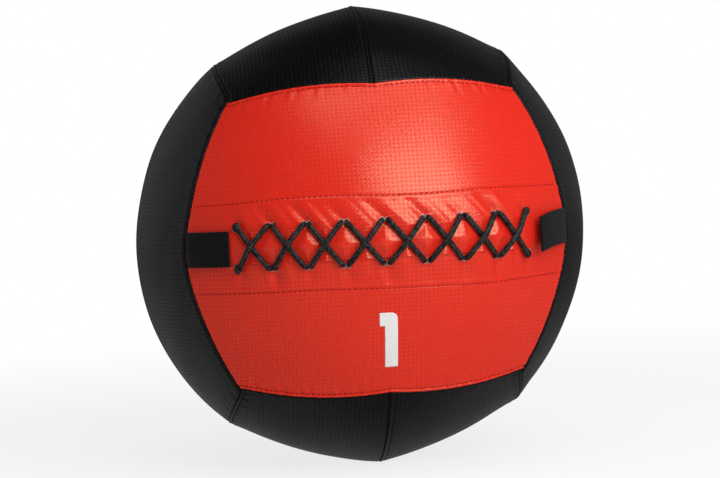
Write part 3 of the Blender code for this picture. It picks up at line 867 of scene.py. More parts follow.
def vinyl_material(name, colour, cover, kind, gloss_share=1.0, glint=(1, 1, 1, 1)):
    """Glossy vinyl embossed as a plain weave on the bias: the squares stand on their corners,
    each arches along its own tape, and fine ribs run along the tape. The grooves between the
    squares carry a little painted shade."""
    grain_height, smudging = 0.00002, 0.03
    gloss = gloss_share * getattr(cover, f"{kind}_gloss")
    weave, matting = getattr(cover, f"{kind}_weave"), getattr(cover, f"{kind}_matting")
    material, tree, shader = start_material(name, cover.roughness, gloss)
    shader.inputs["Specular Tint"].default_value = glint
    x, y = cloth_axes(tree)
    bias = (x + y) / cover.check, (x - y) / cover.check
    wave_a, wave_b = ((place * math.pi).sine() for place in bias)
    rib_a, rib_b = (
        (place * (2 * math.pi * cover.ribs)).sine() * cover.rib_rise for place in bias
    )
    across = wave_a * wave_b
    over = across.span(-0.06, 0.06)
    edge = abs(across) ** 0.2
    tapes = mixed(tree, over, abs(wave_a) * weave + rib_b, abs(wave_b) * weave + rib_a)
    bump(tree, shader, tapes * edge + noise(tree, 160.0, 4.0) * grain_height)
    shine = over.span(0.0, 1.0, gloss * (1 - cover.contrast), gloss * (1 + cover.contrast))
    put(tree, shader, "Specular IOR Level", shine)
    low, high = cover.roughness - smudging, cover.roughness + smudging
    even = noise(tree, 22.0, 5.0).span(0.3, 0.7, low, high)
    put(tree, shader, "Roughness", even + over * matting)
    # Painted shade: the colour falls to 0.95 of itself in the grooves between the squares.
    paint(tree, shader, colour, edge.span(0.3, 0.65), 0.95)
    return material


def thread_material(name, colour):
    """Twisted thread: slanting ridges along each stitch, with painted shade in the grooves between
    them.
    """
    twist, ridge_height = 9000.0, 0.00003
    material, tree, shader = start_material(name, 0.55, 0.15)
    x, y = cloth_axes(tree)
    ridges = (x * twist + y * twist).sine()
    bump(tree, shader, ridges * ridge_height)
    # Painted shade: the colour falls to 0.6 of itself in the grooves between the ridges.
    paint(tree, shader, colour, ridges.span(-1.0, 0.4), 0.6)
    return material


def cord_material(lacing):
    """Braided cord, almost black, with painted highlights along the middle of each cell where a
    strand lies on top, one family more than the other and both by chance. Fine filaments run
    along the strands as bump."""
    filament, filament_height = 0.00042, 0.000008
    material, tree, shader = start_material("braided_cord", 0.4, 0.15)
    x, y = cloth_axes(tree)
    turn, far = y / (2 * math.pi * CORD_RADIUS), x / lacing.lay
    one, two = (
        (place * (math.pi * lacing.carriers)).sine() for place in (turn - far, turn + far)
    )
    # How bright the painted highlights are, changing by chance from place to place.
    patchy_glint = noise(tree, 420.0, 2.0).span(0.38, 0.6, 0.15, 1.0)
    ridge_one, ridge_two = (
        abs(high) ** 2.5 * abs(low) ** 0.4 for high, low in ((one, two), (two, one))
    )
    over = (one * two).span(-0.02, 0.02)
    strand = mixed(tree, over, ridge_two * 0.7, ridge_one)
    along, around = (place * (2 * math.pi / filament) for place in (x, y))
    fine = (along + around).sine() + (along - around).sine() + noise(tree, 2600.0) * 3.0
    bump(tree, shader, fine * filament_height)
    # Painted highlight: the cord colour shows only on the strands' tops, and elsewhere falls to
    # 0.008 of itself.
    paint(tree, shader, lacing.cord, strand.span(0.3, 1.0, 0.0, patchy_glint), 0.008)
    return material


def webbing_material(colour):
    """Woven webbing: lengthwise warp ribs, broken by the weft in every second row, with painted
    shade in the low places of the weave.
    """
    warp_pitch, weft_pitch, weave_height = 0.0011, 0.0016, 0.00016
    material, tree, shader = start_material("woven_webbing", 0.5, 0.15)
    x, y = cloth_axes(tree)
    parity = (y * (math.pi / warp_pitch)).sine().math("SIGN")
    weft = (x * (2 * math.pi / weft_pitch) + parity * 1.57).sine()
    weave = abs(y.wave(warp_pitch)) + weft * 0.5
    bump(tree, shader, (weave + noise(tree, 3000.0, 2.0) * 0.6) * weave_height)
    # Painted shade: the colour falls to 0.3 of itself in the low places of the weave.
    paint(tree, shader, colour, weave.span(-0.3, 1.2), 0.3)
    shader.inputs["Sheen Weight"].default_value = 0.05
    return material


def cloth_material(name, colour, pitch, depth):
    """Plain cloth woven from threads of one pitch, on the object's own axes, with painted shade in
    the low places of the weave.
    """
    material, tree, shader = start_material(name, 0.85, 0.3)
    x, y, z = (axis.wave(pitch) for axis in axes_of(tree, object_places(tree)))
    weave = x + y + z
    bump(tree, shader, weave * depth)
    # Painted shade: the colour falls to 0.75 of itself in the low places of the weave.
    paint(tree, shader, colour, weave.span(-2.0, 1.5), 0.75)
    return material


def foam_material(name, colour, scale, depth):
    """Open cells or matted fibre: bump and tint from cell noise."""
    material, tree, shader = start_material(name, 0.92, 0.2)
    cells = made(tree, "TexVoronoi", {"Vector": object_places(tree), "Scale": scale})
    bump(tree, shader, cells * depth)
    paint(tree, shader, colour, cells.span(0.0, 0.6, 1.0, 0.0), 0.6)
    return material


# Panels


def edge_steps(cover):
    """Distances from a seam at which a panel has its lines, close together up to past the row
    of stitches."""
    return np.linspace(CLEARANCE / 2, cover.stitch_inset + PAST_STITCHES, EDGE_LINES)


def fitted_grid(shares, rows, cover):
    """The u and v of a panel's points. The outer columns keep their true distances from the
    side seams and the last rows from the crown seam; rows gives the v of the others from the
    u of each point and the v where the last rows begin. Columns and rows settle in turns."""
    steps = edge_steps(cover)
    count = len(steps)
    u = np.concatenate([-np.ones(count), shares, np.ones(count)])[None, :]
    first_guess, near_crown = 0.93, 0.97
    v = rows(u, np.full(u.shape, first_guess))
    v = np.concatenate([v, np.full((count, u.shape[1]), near_crown)])
    u = np.broadcast_to(u, v.shape).copy()
    for _ in range(4):
        edge = side_place(v[:, -count:], steps[::-1])
        u = np.concatenate([-edge[:, ::-1], shares * edge[:, :1], edge], 1)
        crown = crown_place(u[-count:], steps[::-1, None])
        v = np.concatenate([rows(u[:-count], crown[:1]), crown])
    return u, v


def panel_grid(side, cover):
    """The u and v of a plain panel's points, rows across the face and columns along it."""
    steps = edge_steps(cover)[:, None]
    shares = between(0, 1, PANEL_ROWS)[:, None]

    def rows(u, crown):
        low = ridge_place(u[:1], steps)
        return np.concatenate([low, low[-1] + shares * (crown - low[-1])])

    u, v = fitted_grid(between(-1, 1, PANEL_COLUMNS), rows, cover)
    return u, side * v, None


def height_place(u, height):
    """The v where the front face is the given height above its equator, for each u."""
    v = height / CROWN_LENGTH + 0 * u
    for _ in range(20):
        v = v + (np.arcsin(height / BALL_RADIUS) - face_angles(u + 0 * v, v)[1]) / CROWN_ANGLE
    return v


def flap_grid(side, cover):
    """The u and v of a laced panel's points, with rings of points round each lace hole.

    Round a hole, square rings of the grid turn into circles: a point's place is a mix of the
    hole's circle and the block's outer square, by its ring. Cells inside the circle are left
    out."""
    cell, block, inner = HOLE_CELL, 5, 2
    block_edge = block * cell
    level = -side * LACING_DROP
    arcs, ups = np.array(hole_places()).T
    u_holes, v_holes = lacing_place(arcs, side * ups)
    v_holes = side * v_holes
    step = 1e-4
    here, over_u, over_v = (
        face_directions(u_holes + at_u, v_holes + at_v) * BALL_RADIUS
        for at_u, at_v in ((0, 0), (step, 0), (0, step))
    )
    per_u, per_v = (np.linalg.norm(over - here, axis=-1) / step for over in (over_u, over_v))

    edge = side_place(np.mean(v_holes), edge_steps(cover)[-1])
    offsets = np.arange(-block, block + 1)
    lines = (u_holes[:, None] + cell * offsets / per_u[:, None]).ravel()
    lines = np.concatenate([[-edge], np.sort(lines), [edge]])
    gaps = np.diff(lines) * np.mean(per_u)
    fill = [
        between(low, high, max(0, int(gap / WIDE_CELL) - 1))
        for low, high, gap in zip(lines[:-1], lines[1:], gaps)
        if gap > 1.5 * cell
    ]
    lines = np.sort(np.concatenate([lines[1:-1], *fill]))
    row_start, row_end = ROW_BAND
    below, above = HOLE_HEIGHT - block_edge, HOLE_HEIGHT + block_edge
    heights = level + np.concatenate(
        [
            np.linspace(SLOT_HALF, below, SLOT_ROWS, endpoint=False),
            HOLE_HEIGHT + cell * offsets,
            np.arange(above + WIDE_CELL / 2, row_start, WIDE_CELL / 2),
            np.arange(row_start, row_end, WIDE_CELL / 4),
        ]
    )[:, None]
    shares = between(0, 1, FLAP_ROWS)[:, None]
    shift = (END_HOLE_HEIGHT - HOLE_HEIGHT) * np.interp(
        heights, level + np.array([SLOT_HALF, below, above, row_start]), [0, 1, 1, 0]
    )

    def rows(u, crown):
        near_end = smooth((np.abs(u[:1]) / u_holes[-1] - 0.85) / 0.1)
        flap = height_place(u[:1], heights + shift * near_end)
        return np.concatenate([flap, flap[-1] + shares * (crown - flap[-1])])

    u, v = fitted_grid(lines / edge, rows, cover)
    keep = np.ones((u.shape[0] - 1, u.shape[1] - 1), bool)
    row = int(np.argmin(np.abs(heights - HOLE_HEIGHT - level)))
    down, over = np.meshgrid(offsets, offsets, indexing="ij")
    ring = np.maximum(np.abs(down), np.abs(over))
    mix = np.clip((ring - inner) / (block - inner), 0, 1)
    circle = HOLE_RADIUS * (1 - mix) / np.maximum(np.hypot(down, over), 1)
    square = block_edge * mix / np.maximum(ring, 1)
    change = np.where((ring < block) & (ring >= inner), circle + square - cell, 0)
    for hole, across, up in zip(u_holes, per_u, per_v):
        column = int(np.argmin(np.abs(u[row] - hole)))
        place = np.s_[row - block : row + block + 1, column - block : column + block + 1]
        u[place] += over * change / across
        v[place] += down * change / up
        keep[row - inner : row + inner, column - inner : column + inner] = False
    return u, side * v, keep


def settings_of(context):
    """The cover's and the lacing's settings, which shape the surface together."""
    return context.scene.wall_ball_cover, context.scene.wall_ball_lacing


def embossed(kind, cover):
    """The red or black vinyl, made once and shared by several operators."""
    name = f"embossed_{kind}"
    glint = cover.red_glint if kind == "red" else (1, 1, 1, 1)
    return bpy.data.materials.get(name) or vinyl_material(
        name, getattr(cover, kind), cover, kind, glint=glint
    )


class WALLBALL_OT_panels(bpy.types.Operator):
    """Sew the twelve vinyl panels of the cover"""

    bl_idname = "wallball.panels"
    bl_label = "Cover Panels"

    def execute(self, context):
        settings = settings_of(context)
        cover = settings[0]
        for face, (kind, *names) in PANELS.items():
            material = embossed(kind, cover)
            make_grid = flap_grid if face == "front" else panel_grid
            for side, name in zip((1, -1), names):
                u, v, keep = make_grid(side, cover)
                node = f"{face}_{name}_panel"
                piece = make_piece(
                    node + "_cover", cover_points(face, u, v, 0, settings),
                    grid_quads(*u.shape, keep), material, cloth_places(u, v),
                )
                add_wall(piece, cover.thickness)
                mount(piece, "ball", f"{kind}_vinyl", node)
        return {"FINISHED"}


def stitch_rings(points, up, thread):
    """The rings of every stitch on a row: six-sided tubes that lie along the row's line, thick
    in the middle, and bend down into the vinyl at both ends by a fourth power."""
    along = lengths_along(points)
    count = int(along[-1] / thread.pitch)
    pitch = along[-1] / count
    centres = (np.arange(count) + 0.5) * pitch
    shares = np.linspace(-1, 1, STITCH_RINGS)
    places = centres[:, None] + shares * (pitch - thread.gap) / 2
    line, over = read_line(places, along, points), unit(read_line(places, along, up))
    ahead = unit(np.gradient(line, axis=1))
    beside = unit(np.cross(over, ahead))
    lift = thread.radius * 0.55 - (thread.radius * 2.2) * shares**4
    line = line + over * lift[None, :, None]
    slim = thread.radius * (1 - 0.35 * shares**4)
    ring = circles(beside, over, np.arange(STITCH_SIDES) * 2 * math.pi / STITCH_SIDES)
    return line[:, :, None] + slim[None, :, None, None] * ring, places


def add_stitches(name, rows, material, thread):
    """One mesh of all the stitches of some rows; each stitch is a closed tube, and the floor
    presses those under the ball up into the vinyl."""
    points, quads, cloth = [], [], []
    first = 0
    for line, up in rows:
        rings, places = stitch_rings(line, up, thread)
        rings[..., 2] -= np.minimum(rings[..., 2].min((1, 2), keepdims=True), 0)
        count, steps, around = rings.shape[:3]
        caps = np.array([[0, 1, 2, 3], [0, 3, 4, 5]])
        last = caps + (steps - 1) * around
        cell = np.concatenate([grid_quads(steps, around, wrap=True), caps[:, ::-1], last])
        start = first + np.arange(count)[:, None, None] * steps * around
        quads.append((cell[None] + start).reshape(-1, 4))
        points.append(rings.reshape(-1, 3))
        far_and_round = np.broadcast_arrays(places[:, :, None], np.arange(around) * thread.radius)
        cloth.append(np.stack(far_and_round, -1).reshape(-1, 2))
        first += count * steps * around
    parts = (np.concatenate(part) for part in (points, quads))
    return make_piece(name, *parts, material, np.concatenate(cloth), None)


def crown_row(along, cover):
    """The u and v of the row of stitches beside a crown seam, which stops short of the side
    seams."""
    u, v = along, np.ones_like(along)
    for _ in range(4):
        u = along * side_place(v, SEAM_STOP)
        v = crown_place(u, cover.stitch_inset)
    return u, v


def row_on(face, u, v, settings):
    """A row's line over the finished cover and its outward directions."""
    points = cover_points(face, u, v, 0, settings)
    return points, unit(points - CENTRE)


class WALLBALL_OT_stitching(bpy.types.Operator):
    """Stitch every seam and both flaps"""

    bl_idname = "wallball.stitching"
    bl_label = "Top Stitching"

    def execute(self, context):
        settings = settings_of(context)
        cover = settings[0]
        thread = context.scene.wall_ball_thread
        threads = {
            kind: thread_material(f"{kind}_thread", getattr(thread, kind))
            for kind in ("red", "black")
        }
        along = np.linspace(-1, 1, 700)
        for face, (kind, *names) in PANELS.items():
            for side, name in zip((1, -1), names):
                u, v = crown_row(along, cover)
                rows = [row_on(face, u, side * v, settings)]
                if face == "front":
                    longitude = along * (RIDGE_ANGLE - 0.05)
                    height = row_height(longitude, side)
                    u, v = front_place(longitude * BALL_RADIUS, height)
                    inside = side_distance(u, v) > SEAM_STOP
                    rows.append(row_on(face, u[inside], side * v[inside], settings))
                elif side > 0:
                    u = along * 0.99
                    rows.append(row_on(face, u, ridge_place(u, cover.ridge_inset), settings))
                piece = add_stitches(f"{face}_{name}_stitches", rows, threads[kind], thread)
                mount(piece, "ball", f"{kind}_vinyl")
        return {"FINISHED"}


def strip_bulge(arc, height, lacing):
    """Lift of the cover strip: pressed in under the strands, with a pillow inside each diamond
    that rises smoothly with the distance from the nearest strand."""
    half = EYELET_PITCH / 2
    spacing = 2 * half * CORD_HEIGHT / math.hypot(half, CORD_HEIGHT)
    one = (arc / half + height / CORD_HEIGHT) / 2
    two = (arc / half - height / CORD_HEIGHT) / 2
    away = np.minimum(np.abs(one % 1 - 0.5), np.abs(two % 1 - 0.5)) * spacing
    pressed, slope, past_ends, end_slope = 0.0012, 0.0075, 0.002, 0.01
    rise = smooth((away - pressed) / slope)
    pillow = rise * (lacing.bulge + lacing.press) - lacing.press
    uneven = 1 + 0.25 * np.sin(2.7 * np.round(arc / EYELET_PITCH))
    to_end = 4 * EYELET_PITCH + past_ends - np.abs(arc)
    return pillow * uneven * smooth(to_end / end_slope)


class WALLBALL_OT_cover_strip(bpy.types.Operator):
    """Lay the cover strip over the slot"""

    bl_idname = "wallball.cover_strip"
    bl_label = "Cover Strip"

    def execute(self, context):
        cover, lacing = settings_of(context)
        short_by, fold_depth, fold_inset, fold_width = 0.0004, 0.00024, 0.0016, 0.0005
        reach = TAB_TIP_ARC + STRIP_TUCK - short_by
        arc = np.linspace(-reach, reach, STRIP_COLUMNS)
        round_edge = STRIP_THICKNESS / 2
        half = STRIP_WIDTH / 2
        flat = half - round_edge
        turns = np.linspace(-math.pi / 2, math.pi / 2, 7)
        out, up = round_edge * np.cos(turns), round_edge * np.sin(turns)
        height = np.concatenate(
            [flat + out[:-1], np.linspace(flat, -flat, STRIP_ROWS), -flat - out[1:]]
        )
        lift = round_edge + np.concatenate([up[:-1], np.full(STRIP_ROWS, round_edge), -up[1:]])
        to_fold = half - fold_inset - np.abs(height)
        lift = lift + CLEARANCE - fold_depth * bell(to_fold, fold_width)
        bottom = between(-flat, flat, 10)
        height = np.concatenate([height, bottom])
        lift = np.concatenate([lift, np.full(len(bottom), CLEARANCE)])
        arc_grid, height_grid = np.meshgrid(arc, height, indexing="ij")
        u, v = lacing_place(arc_grid, height_grid)
        lift_grid = lift + strip_bulge(arc_grid, height_grid, lacing)
        piece = make_piece(
            "cover_strip_cover", solid_points("front", u, v, lift_grid),
            grid_quads(len(arc), len(height), wrap=True), embossed("red", cover),
            cloth_places(u, v),
        )
        close_mesh(piece, len(arc), len(height))
        mount(piece, "ball", "red_vinyl", "cover_strip")
        return {"FINISHED"}


def close_mesh(piece, rows=0, columns=0):
    """Turns all faces outwards, after the two ends of a tube of rings, if it is one, have been
    closed with flat faces."""
    work = bmesh.new()
    work.from_mesh(piece.data)
    work.verts.ensure_lookup_table()
    if rows:
        for first in (0, (rows - 1) * columns):
            work.faces.new([work.verts[first + column] for column in range(columns)])
    bmesh.ops.recalc_face_normals(work, faces=work.faces)
    work.to_mesh(piece.data)
    work.free()


def stretch_route(left, right, side):
    """One stretch of a strand; one that rises from left to right passes over the other."""
    climb = (LIFT_OVER_STRAND - LIFT_ON_STRIP) if side < 0 else 0
    middle, half = (left + right) / 2, (right - left) / 2
    return [
        (middle + place * half, -side * place * CORD_HEIGHT, strip * LIFT_ON_STRIP + over * climb)
        for place, strip, over in STRETCH_SHARES
    ]


def strand_route(side):
    """The arc, height and lift of one zigzag strand, from its left end hole to its right one."""
    def hook(end, at):
        return [
            (
                end * (END_HOLE_ARC - inward / 1000),
                at * (END_HOLE_HEIGHT + outward / 1000),
                up * LIFT_ON_STRIP,
            )
            for inward, outward, up in HOOK_SHAPE
        ]

    route = hook(-1, side)
    for eyelet in range(-4, 4):
        starts, ends = eyelet == -4, eyelet == 3
        left = eyelet * EYELET_PITCH + (FIRST_CROSSING_GAP if starts else HOLE_OFFSET)
        right = (eyelet + 1) * EYELET_PITCH - (FIRST_CROSSING_GAP if ends else HOLE_OFFSET)
        stretch = stretch_route(left, right, side)
        route += stretch[1 if starts else 0 : -1 if ends else None]
        side = -side
        if not ends:
            centre = (eyelet + 1) * EYELET_PITCH
            route += [
                (centre + across * HOLE_OFFSET, side * CORD_HEIGHT, -depth * DIP_DEPTH)
                for across, depth in DIP_SHARES
            ]
    return route + list(reversed(hook(1, side)))


def lace_route():
    """The whole lace: both strands, the link at the right end and the two tails at the left."""
    behind = -DIP_DEPTH
    beside = 2 * CORD_RADIUS + TAIL_GAP
    turn = END_HOLE_HEIGHT - CORD_RADIUS
    upper_tail = [(-END_HOLE_ARC, 0, behind), (-END_HOLE_ARC, turn, behind)]
    link = [(END_HOLE_ARC, turn, behind), (END_HOLE_ARC, -turn, behind)]
    lower_tail = [
        (-END_HOLE_ARC, -turn, behind),
        (beside - END_HOLE_ARC, -turn / 2, behind),
        (beside - END_HOLE_ARC, turn / 2, behind),
    ]
    strands = strand_route(1) + link + list(reversed(strand_route(-1)))
    return np.array(upper_tail + strands + lower_tail)


def smooth_line(points, step):
    """A Catmull-Rom curve through points of arc, height and lift, read every step along it."""
    padded = np.concatenate([[2 * points[0] - points[1]], points, [2 * points[-1] - points[-2]]])
    share_of = np.linspace(0, 1, 24, endpoint=False)[None, :, None]
    p0, p1, p2, p3 = (padded[k : len(padded) - 3 + k][:, None] for k in range(4))
    curve = 0.5 * (
        2 * p1
        + (p2 - p0) * share_of
        + (2 * p0 - 5 * p1 + 4 * p2 - p3) * share_of**2
        + (3 * p1 - p0 - 3 * p2 + p3) * share_of**3
    )
    curve = np.concatenate([curve.reshape(-1, 3), points[-1:]])
    along = lengths_along(curve)
    places = np.linspace(0, along[-1], int(along[-1] / step) + 1)
    return read_line(places, along, curve), places


def carried_frames(line):
    """Two directions square to the line at each point, carried along it without twist: each
    step turns the last pair by the least rotation (a double reflection)."""
    ahead = unit(np.gradient(line, axis=0))
    side = np.zeros_like(line)
    side[0] = unit(np.cross(ahead[0], [0.0, 1.0, 0.31]))
    for k in range(len(line) - 1):
        step = line[k + 1] - line[k]
        scale = 2 / (step @ step)
        flipped = side[k] - scale * (step @ side[k]) * step
        turned = ahead[k] - scale * (step @ ahead[k]) * step
        rest = ahead[k + 1] - turned
        size = rest @ rest
        side[k + 1] = flipped - (2 / size) * (rest @ flipped) * rest if size > 1e-18 else flipped
    side = unit(side - np.sum(side * ahead, -1, keepdims=True) * ahead)
    return side, np.cross(ahead, side)


def crossing_share(arc, height):
    """1 at the middle of each crossing of two strands, falling smoothly to 0 round it."""
    crossing_size = 0.0036
    middle = (np.floor(arc / EYELET_PITCH) + 0.5) * EYELET_PITCH
    inside = np.abs(arc) < 4 * EYELET_PITCH
    return bell(np.hypot(arc - middle, height), crossing_size) * inside


def braid_height(along, turn, lacing):
    """Relief of a round braid, 0 to 1: two families of strands wind opposite ways and pass over
    and under by turns, so each cell is a pillow, long in the direction of its upper strand."""
    wave_one, wave_two = (
        np.sin(np.pi * lacing.carriers * (turn + way * along / lacing.lay)) for way in (-1, 1)
    )
    rise_one, rise_two = np.abs(wave_one), np.abs(wave_two)
    return np.where(
        wave_one * wave_two > 0,
        rise_one**0.9 * rise_two**0.35,
        rise_two**0.9 * rise_one**0.35,
    )


class WALLBALL_OT_lace(bpy.types.Operator):
    """Thread the braided lace through both flaps"""

    bl_idname = "wallball.lace"
    bl_label = "Lace"

    def execute(self, context):
        lacing = context.scene.wall_ball_lacing
        mouth_depth, mouth_reach, mouth_slack = 0.0015, 0.001, 0.00015
        route, along = smooth_line(lace_route(), CORD_STEP)
        arc, height, lift = route.T
        line = solid_points("front", *lacing_place(arc, height), lift)
        side, over = carried_frames(line)
        far, turn = np.meshgrid(along, np.arange(CORD_SIDES) / CORD_SIDES, indexing="ij")
        angles = 2 * math.pi * turn
        mouth = np.clip((mouth_depth - lift) / mouth_reach, 0, 1)
        squeezed = CORD_RADIUS - (CORD_RADIUS - HOLE_RADIUS + mouth_slack) * mouth
        radius = squeezed[:, None] - lacing.relief * (1 - braid_height(far, turn, lacing))
        ring = radius[..., None] * circles(side, over, angles)
        outwards = unit(line - CENTRE)[:, None]
        flat = lacing.flatten * crossing_share(arc, height)[:, None, None]
        high = np.sum(ring * outwards, -1, keepdims=True)
        ring = ring * (1 + 0.4 * flat) - outwards * high * 1.4 * flat
        piece = make_piece(
            "braided_lace", line[:, None] + ring, grid_quads(*far.shape, wrap=True),
            cord_material(lacing), np.stack([far, angles * CORD_RADIUS], -1), None,
        )
        close_mesh(piece, *far.shape)
        mount(piece, "ball", "lace_cord", "lace")
        return {"FINISHED"}


class WALLBALL_OT_eyelets(bpy.types.Operator):
    """Line the lace holes with the vinyl's raw cut edge, pale partly from its backing and partly as
    a painted highlight
    """

    bl_idname = "wallball.eyelets"
    bl_label = "Eyelet Edges"

    def execute(self, context):
        settings = settings_of(context)
        cover, lacing = settings
        # The pale edge is partly the vinyl's backing and partly a painted highlight on the rims.
        material = foam_material("cut_edge", cover.cut_edge, 4200.0, 0.00012)
        around, ring_sides = 40, 8
        unevenness, edge_radius, overlap = 0.00012, 0.00026, 0.00006
        count = around * ring_sides
        both = grid_quads(around + 1, ring_sides, wrap=True) % count
        turn = np.arange(around)[:, None] * 2 * math.pi / around
        tube = np.arange(ring_sides) * 2 * math.pi / ring_sides
        chance = np.random.default_rng(3)
        for side, name in ((1, "upper"), (-1, "lower")):
            points, quads = [], []
            for arc, up in hole_places():
                ragged = chance.uniform(-unevenness, unevenness, around)[:, None]
                thick = edge_radius + 0.6 * ragged
                radius = HOLE_RADIUS - overlap + 0.5 * ragged + thick * np.cos(tube)
                lift = lacing.rim * 0.75 + thick * np.sin(tube)
                u, v = lacing_place(
                    arc + radius * np.cos(turn), side * (up + radius * np.sin(turn))
                )
                ring = solid_points("front", u, v, lift + hole_level(arc, up, side, settings))
                quads.append(both + len(points) * count)
                points.append(ring.reshape(-1, 3))
            parts = (np.concatenate(part) for part in (points, quads))
            piece = make_piece(f"{name}_eyelet_edges", *parts, material, centre=None)
            close_mesh(piece)
            mount(piece, "ball", "red_vinyl")
        return {"FINISHED"}


def hole_level(arc, up, side, settings):
    """The folds' lift at a hole, without the rim that stands round it."""
    angles = np.arange(12) * math.pi / 6
    u, v = lacing_place(
        arc + HOLE_RADIUS * np.cos(angles), side * (up + HOLE_RADIUS * np.sin(angles))
    )
    return np.mean(flap_relief(u, v, settings)) - settings[1].rim * bell(RIM_GAP, RIM_WIDTH)


def tab_line(side, count, level):
    """The middle line of a tab at rest on the cover, from its root to its free end, and the
    outward directions along it. The root dips into the seam; the end rests on the strip."""
    share_of = np.linspace(0, 1, count)
    on_strip = np.clip(share_of * TAB_LENGTH / (TAB_LENGTH - STRIP_TUCK), 0, 1)
    root_sink, root_fade, root_gap = 0.0040, 16, 0.0004
    sunk = root_sink * np.exp(-share_of * root_fade)
    raised = (CLEARANCE + STRIP_THICKNESS) * on_strip - sunk
    start = RIDGE_LENGTH - root_gap
    arc = side * (start - share_of * (start - TAB_TIP_ARC))
    u, v = front_place(arc, level + 0 * arc)
    line = solid_points("front", u, v, CLEARANCE + TAB_THICKNESS / 2 + raised)
    ahead = unit(np.gradient(line, axis=0))
    return line, side * np.cross(ahead, [0, 0, 1.0]), share_of


class WALLBALL_OT_tabs(bpy.types.Operator):
    """Fold the two webbing tabs and turn them about their roots on the side seams"""

    bl_idname = "wallball.tabs"
    bl_label = "Webbing Tabs"

    def execute(self, context):
        tabs = context.scene.wall_ball_tabs
        thread = context.scene.wall_ball_thread
        material = webbing_material(tabs.colour)
        blacks = bpy.data.materials["black_thread"]
        up_axis, over_tab = np.array([0, 0, 1.0]), 14
        for side, name, level, lift, droop in (
            (-1, "left", tabs.left_level, tabs.left_lift, 0.0),
            (1, "right", tabs.right_level, tabs.right_lift, tabs.right_droop),
        ):
            line, out, share_of = tab_line(side, 40, level)
            root = line[0].copy()
            apart = tabs.layer / 2 + LAYER_GAP
            turns = between(0, math.pi, 7)[:, None]
            ahead = unit(line[-1] - line[-2])
            bend = np.sin(turns) * ahead - np.cos(turns) * out[-1]
            normal = np.concatenate([-out, bend, out[::-1]])
            fold = line[-1] + apart * bend
            path = np.concatenate([line - apart * out, fold, (line + apart * out)[::-1]])
            shares_on = np.concatenate([share_of, np.ones(len(turns)), share_of[::-1]])
            path = path - up_axis * droop * (shares_on**DROOP_POWER)[:, None]
            half, thick = TAB_WIDTH / 2, tabs.layer / 2
            edge = between(-math.pi / 2, math.pi / 2, 3)
            flat = np.linspace(-half + thick, half - thick, over_tab)
            side_out, side_up = half - thick + thick * np.cos(edge), thick * np.sin(edge)
            across = np.concatenate([flat, side_out[::-1], flat[::-1], -side_out])
            depth = np.concatenate(
                [np.full(over_tab, thick), side_up[::-1], np.full(over_tab, -thick), side_up]
            )
            section = across[None, :, None] * up_axis + depth[None, :, None] * normal[:, None]
            seam_curve = ROOT_CURVE * np.abs(across) / half * (1 - shares_on[:, None]) ** 4
            forward = unit(line[-1] - line[0])
            points = path[:, None] + section + seam_curve[..., None] * forward
            turn = np.array(Matrix.Rotation(side * lift, 3, "Z"))
            points = (points - root) @ turn.T + root
            cloth = np.broadcast_arrays(lengths_along(path)[:, None], across)
            piece = make_piece(
                f"{name}_webbing", points, grid_quads(len(path), len(across), wrap=True),
                material, np.stack(cloth, -1), None,
            )
            close_mesh(piece, len(path), len(across))
            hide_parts(f"{name}_webbing_tab")
            rows = []
            for away in TAB_ROWS:
                place = len(share_of) + len(turns) + away
                line = points[place, :over_tab]
                rows.append((line, np.broadcast_to(turn @ normal[place], line.shape)))
            seams = add_stitches(f"{name}_tab_stitches", rows, blacks, thread)
            tip = root + (points[len(share_of) // 4, 0] - points[0, 0])
            for part in (piece, seams):
                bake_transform(part)
        return {"FINISHED"}


class WALLBALL_OT_numeral(bpy.types.Operator):
    """Print the weight numeral on the lower front panel"""

    bl_idname = "wallball.numeral"
    bl_label = "Weight Numeral"

    def execute(self, context):
        settings = settings_of(context)
        cover = settings[0]
        numeral = context.scene.wall_ball_numeral
        flag_steps, foot_steps = 6, 39
        flag_foot = numeral.height - numeral.flag_height
        x = np.concatenate(
            [np.linspace(-numeral.flag, 0, flag_steps, endpoint=False),
             np.linspace(0, numeral.stem, 15)]
        )
        y = np.concatenate(
            [np.linspace(0, flag_foot, foot_steps, endpoint=False),
             np.linspace(flag_foot, numeral.height, 16)]
        )
        across, up = np.meshgrid(x, y, indexing="ij")
        keep = np.ones((len(x) - 1, len(y) - 1), bool)
        keep[:flag_steps, :foot_steps] = False
        corner = numeral.corner
        over_x = np.clip((across - numeral.stem + corner) / corner, 0, 1)
        over_y = np.clip((up - numeral.height + corner) / corner, 0, 1)
        push = np.maximum(np.hypot(over_x, over_y), 1e-9)
        shrink = np.where((over_x > 0) & (over_y > 0), np.maximum(over_x, over_y) / push, 1)
        across = across - corner * over_x * (1 - shrink)
        up = up - corner * over_y * (1 - shrink)
        latitude = (up - numeral.top - numeral.height) / BALL_RADIUS
        longitude = (numeral.left + across) / (BALL_RADIUS * np.cos(latitude))
        u, v = angle_place(longitude, latitude)
        material = vinyl_material(
            "numeral_print", numeral.white, cover, "red", gloss_share=PRINT_GLOSS
        )
        piece = make_piece(
            "numeral_one", cover_points("front", u, v, numeral.film, settings),
            grid_quads(len(x), len(y), keep), material, cloth_places(u, v),
        )
        add_wall(piece, numeral.film)
        mount(piece, "ball", "red_vinyl")
        return {"FINISHED"}


def finish_node(name, material):
    """Gives a solid that stays its material."""
    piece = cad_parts[name]
    piece.data.materials.clear()
    piece.data.materials.append(material)


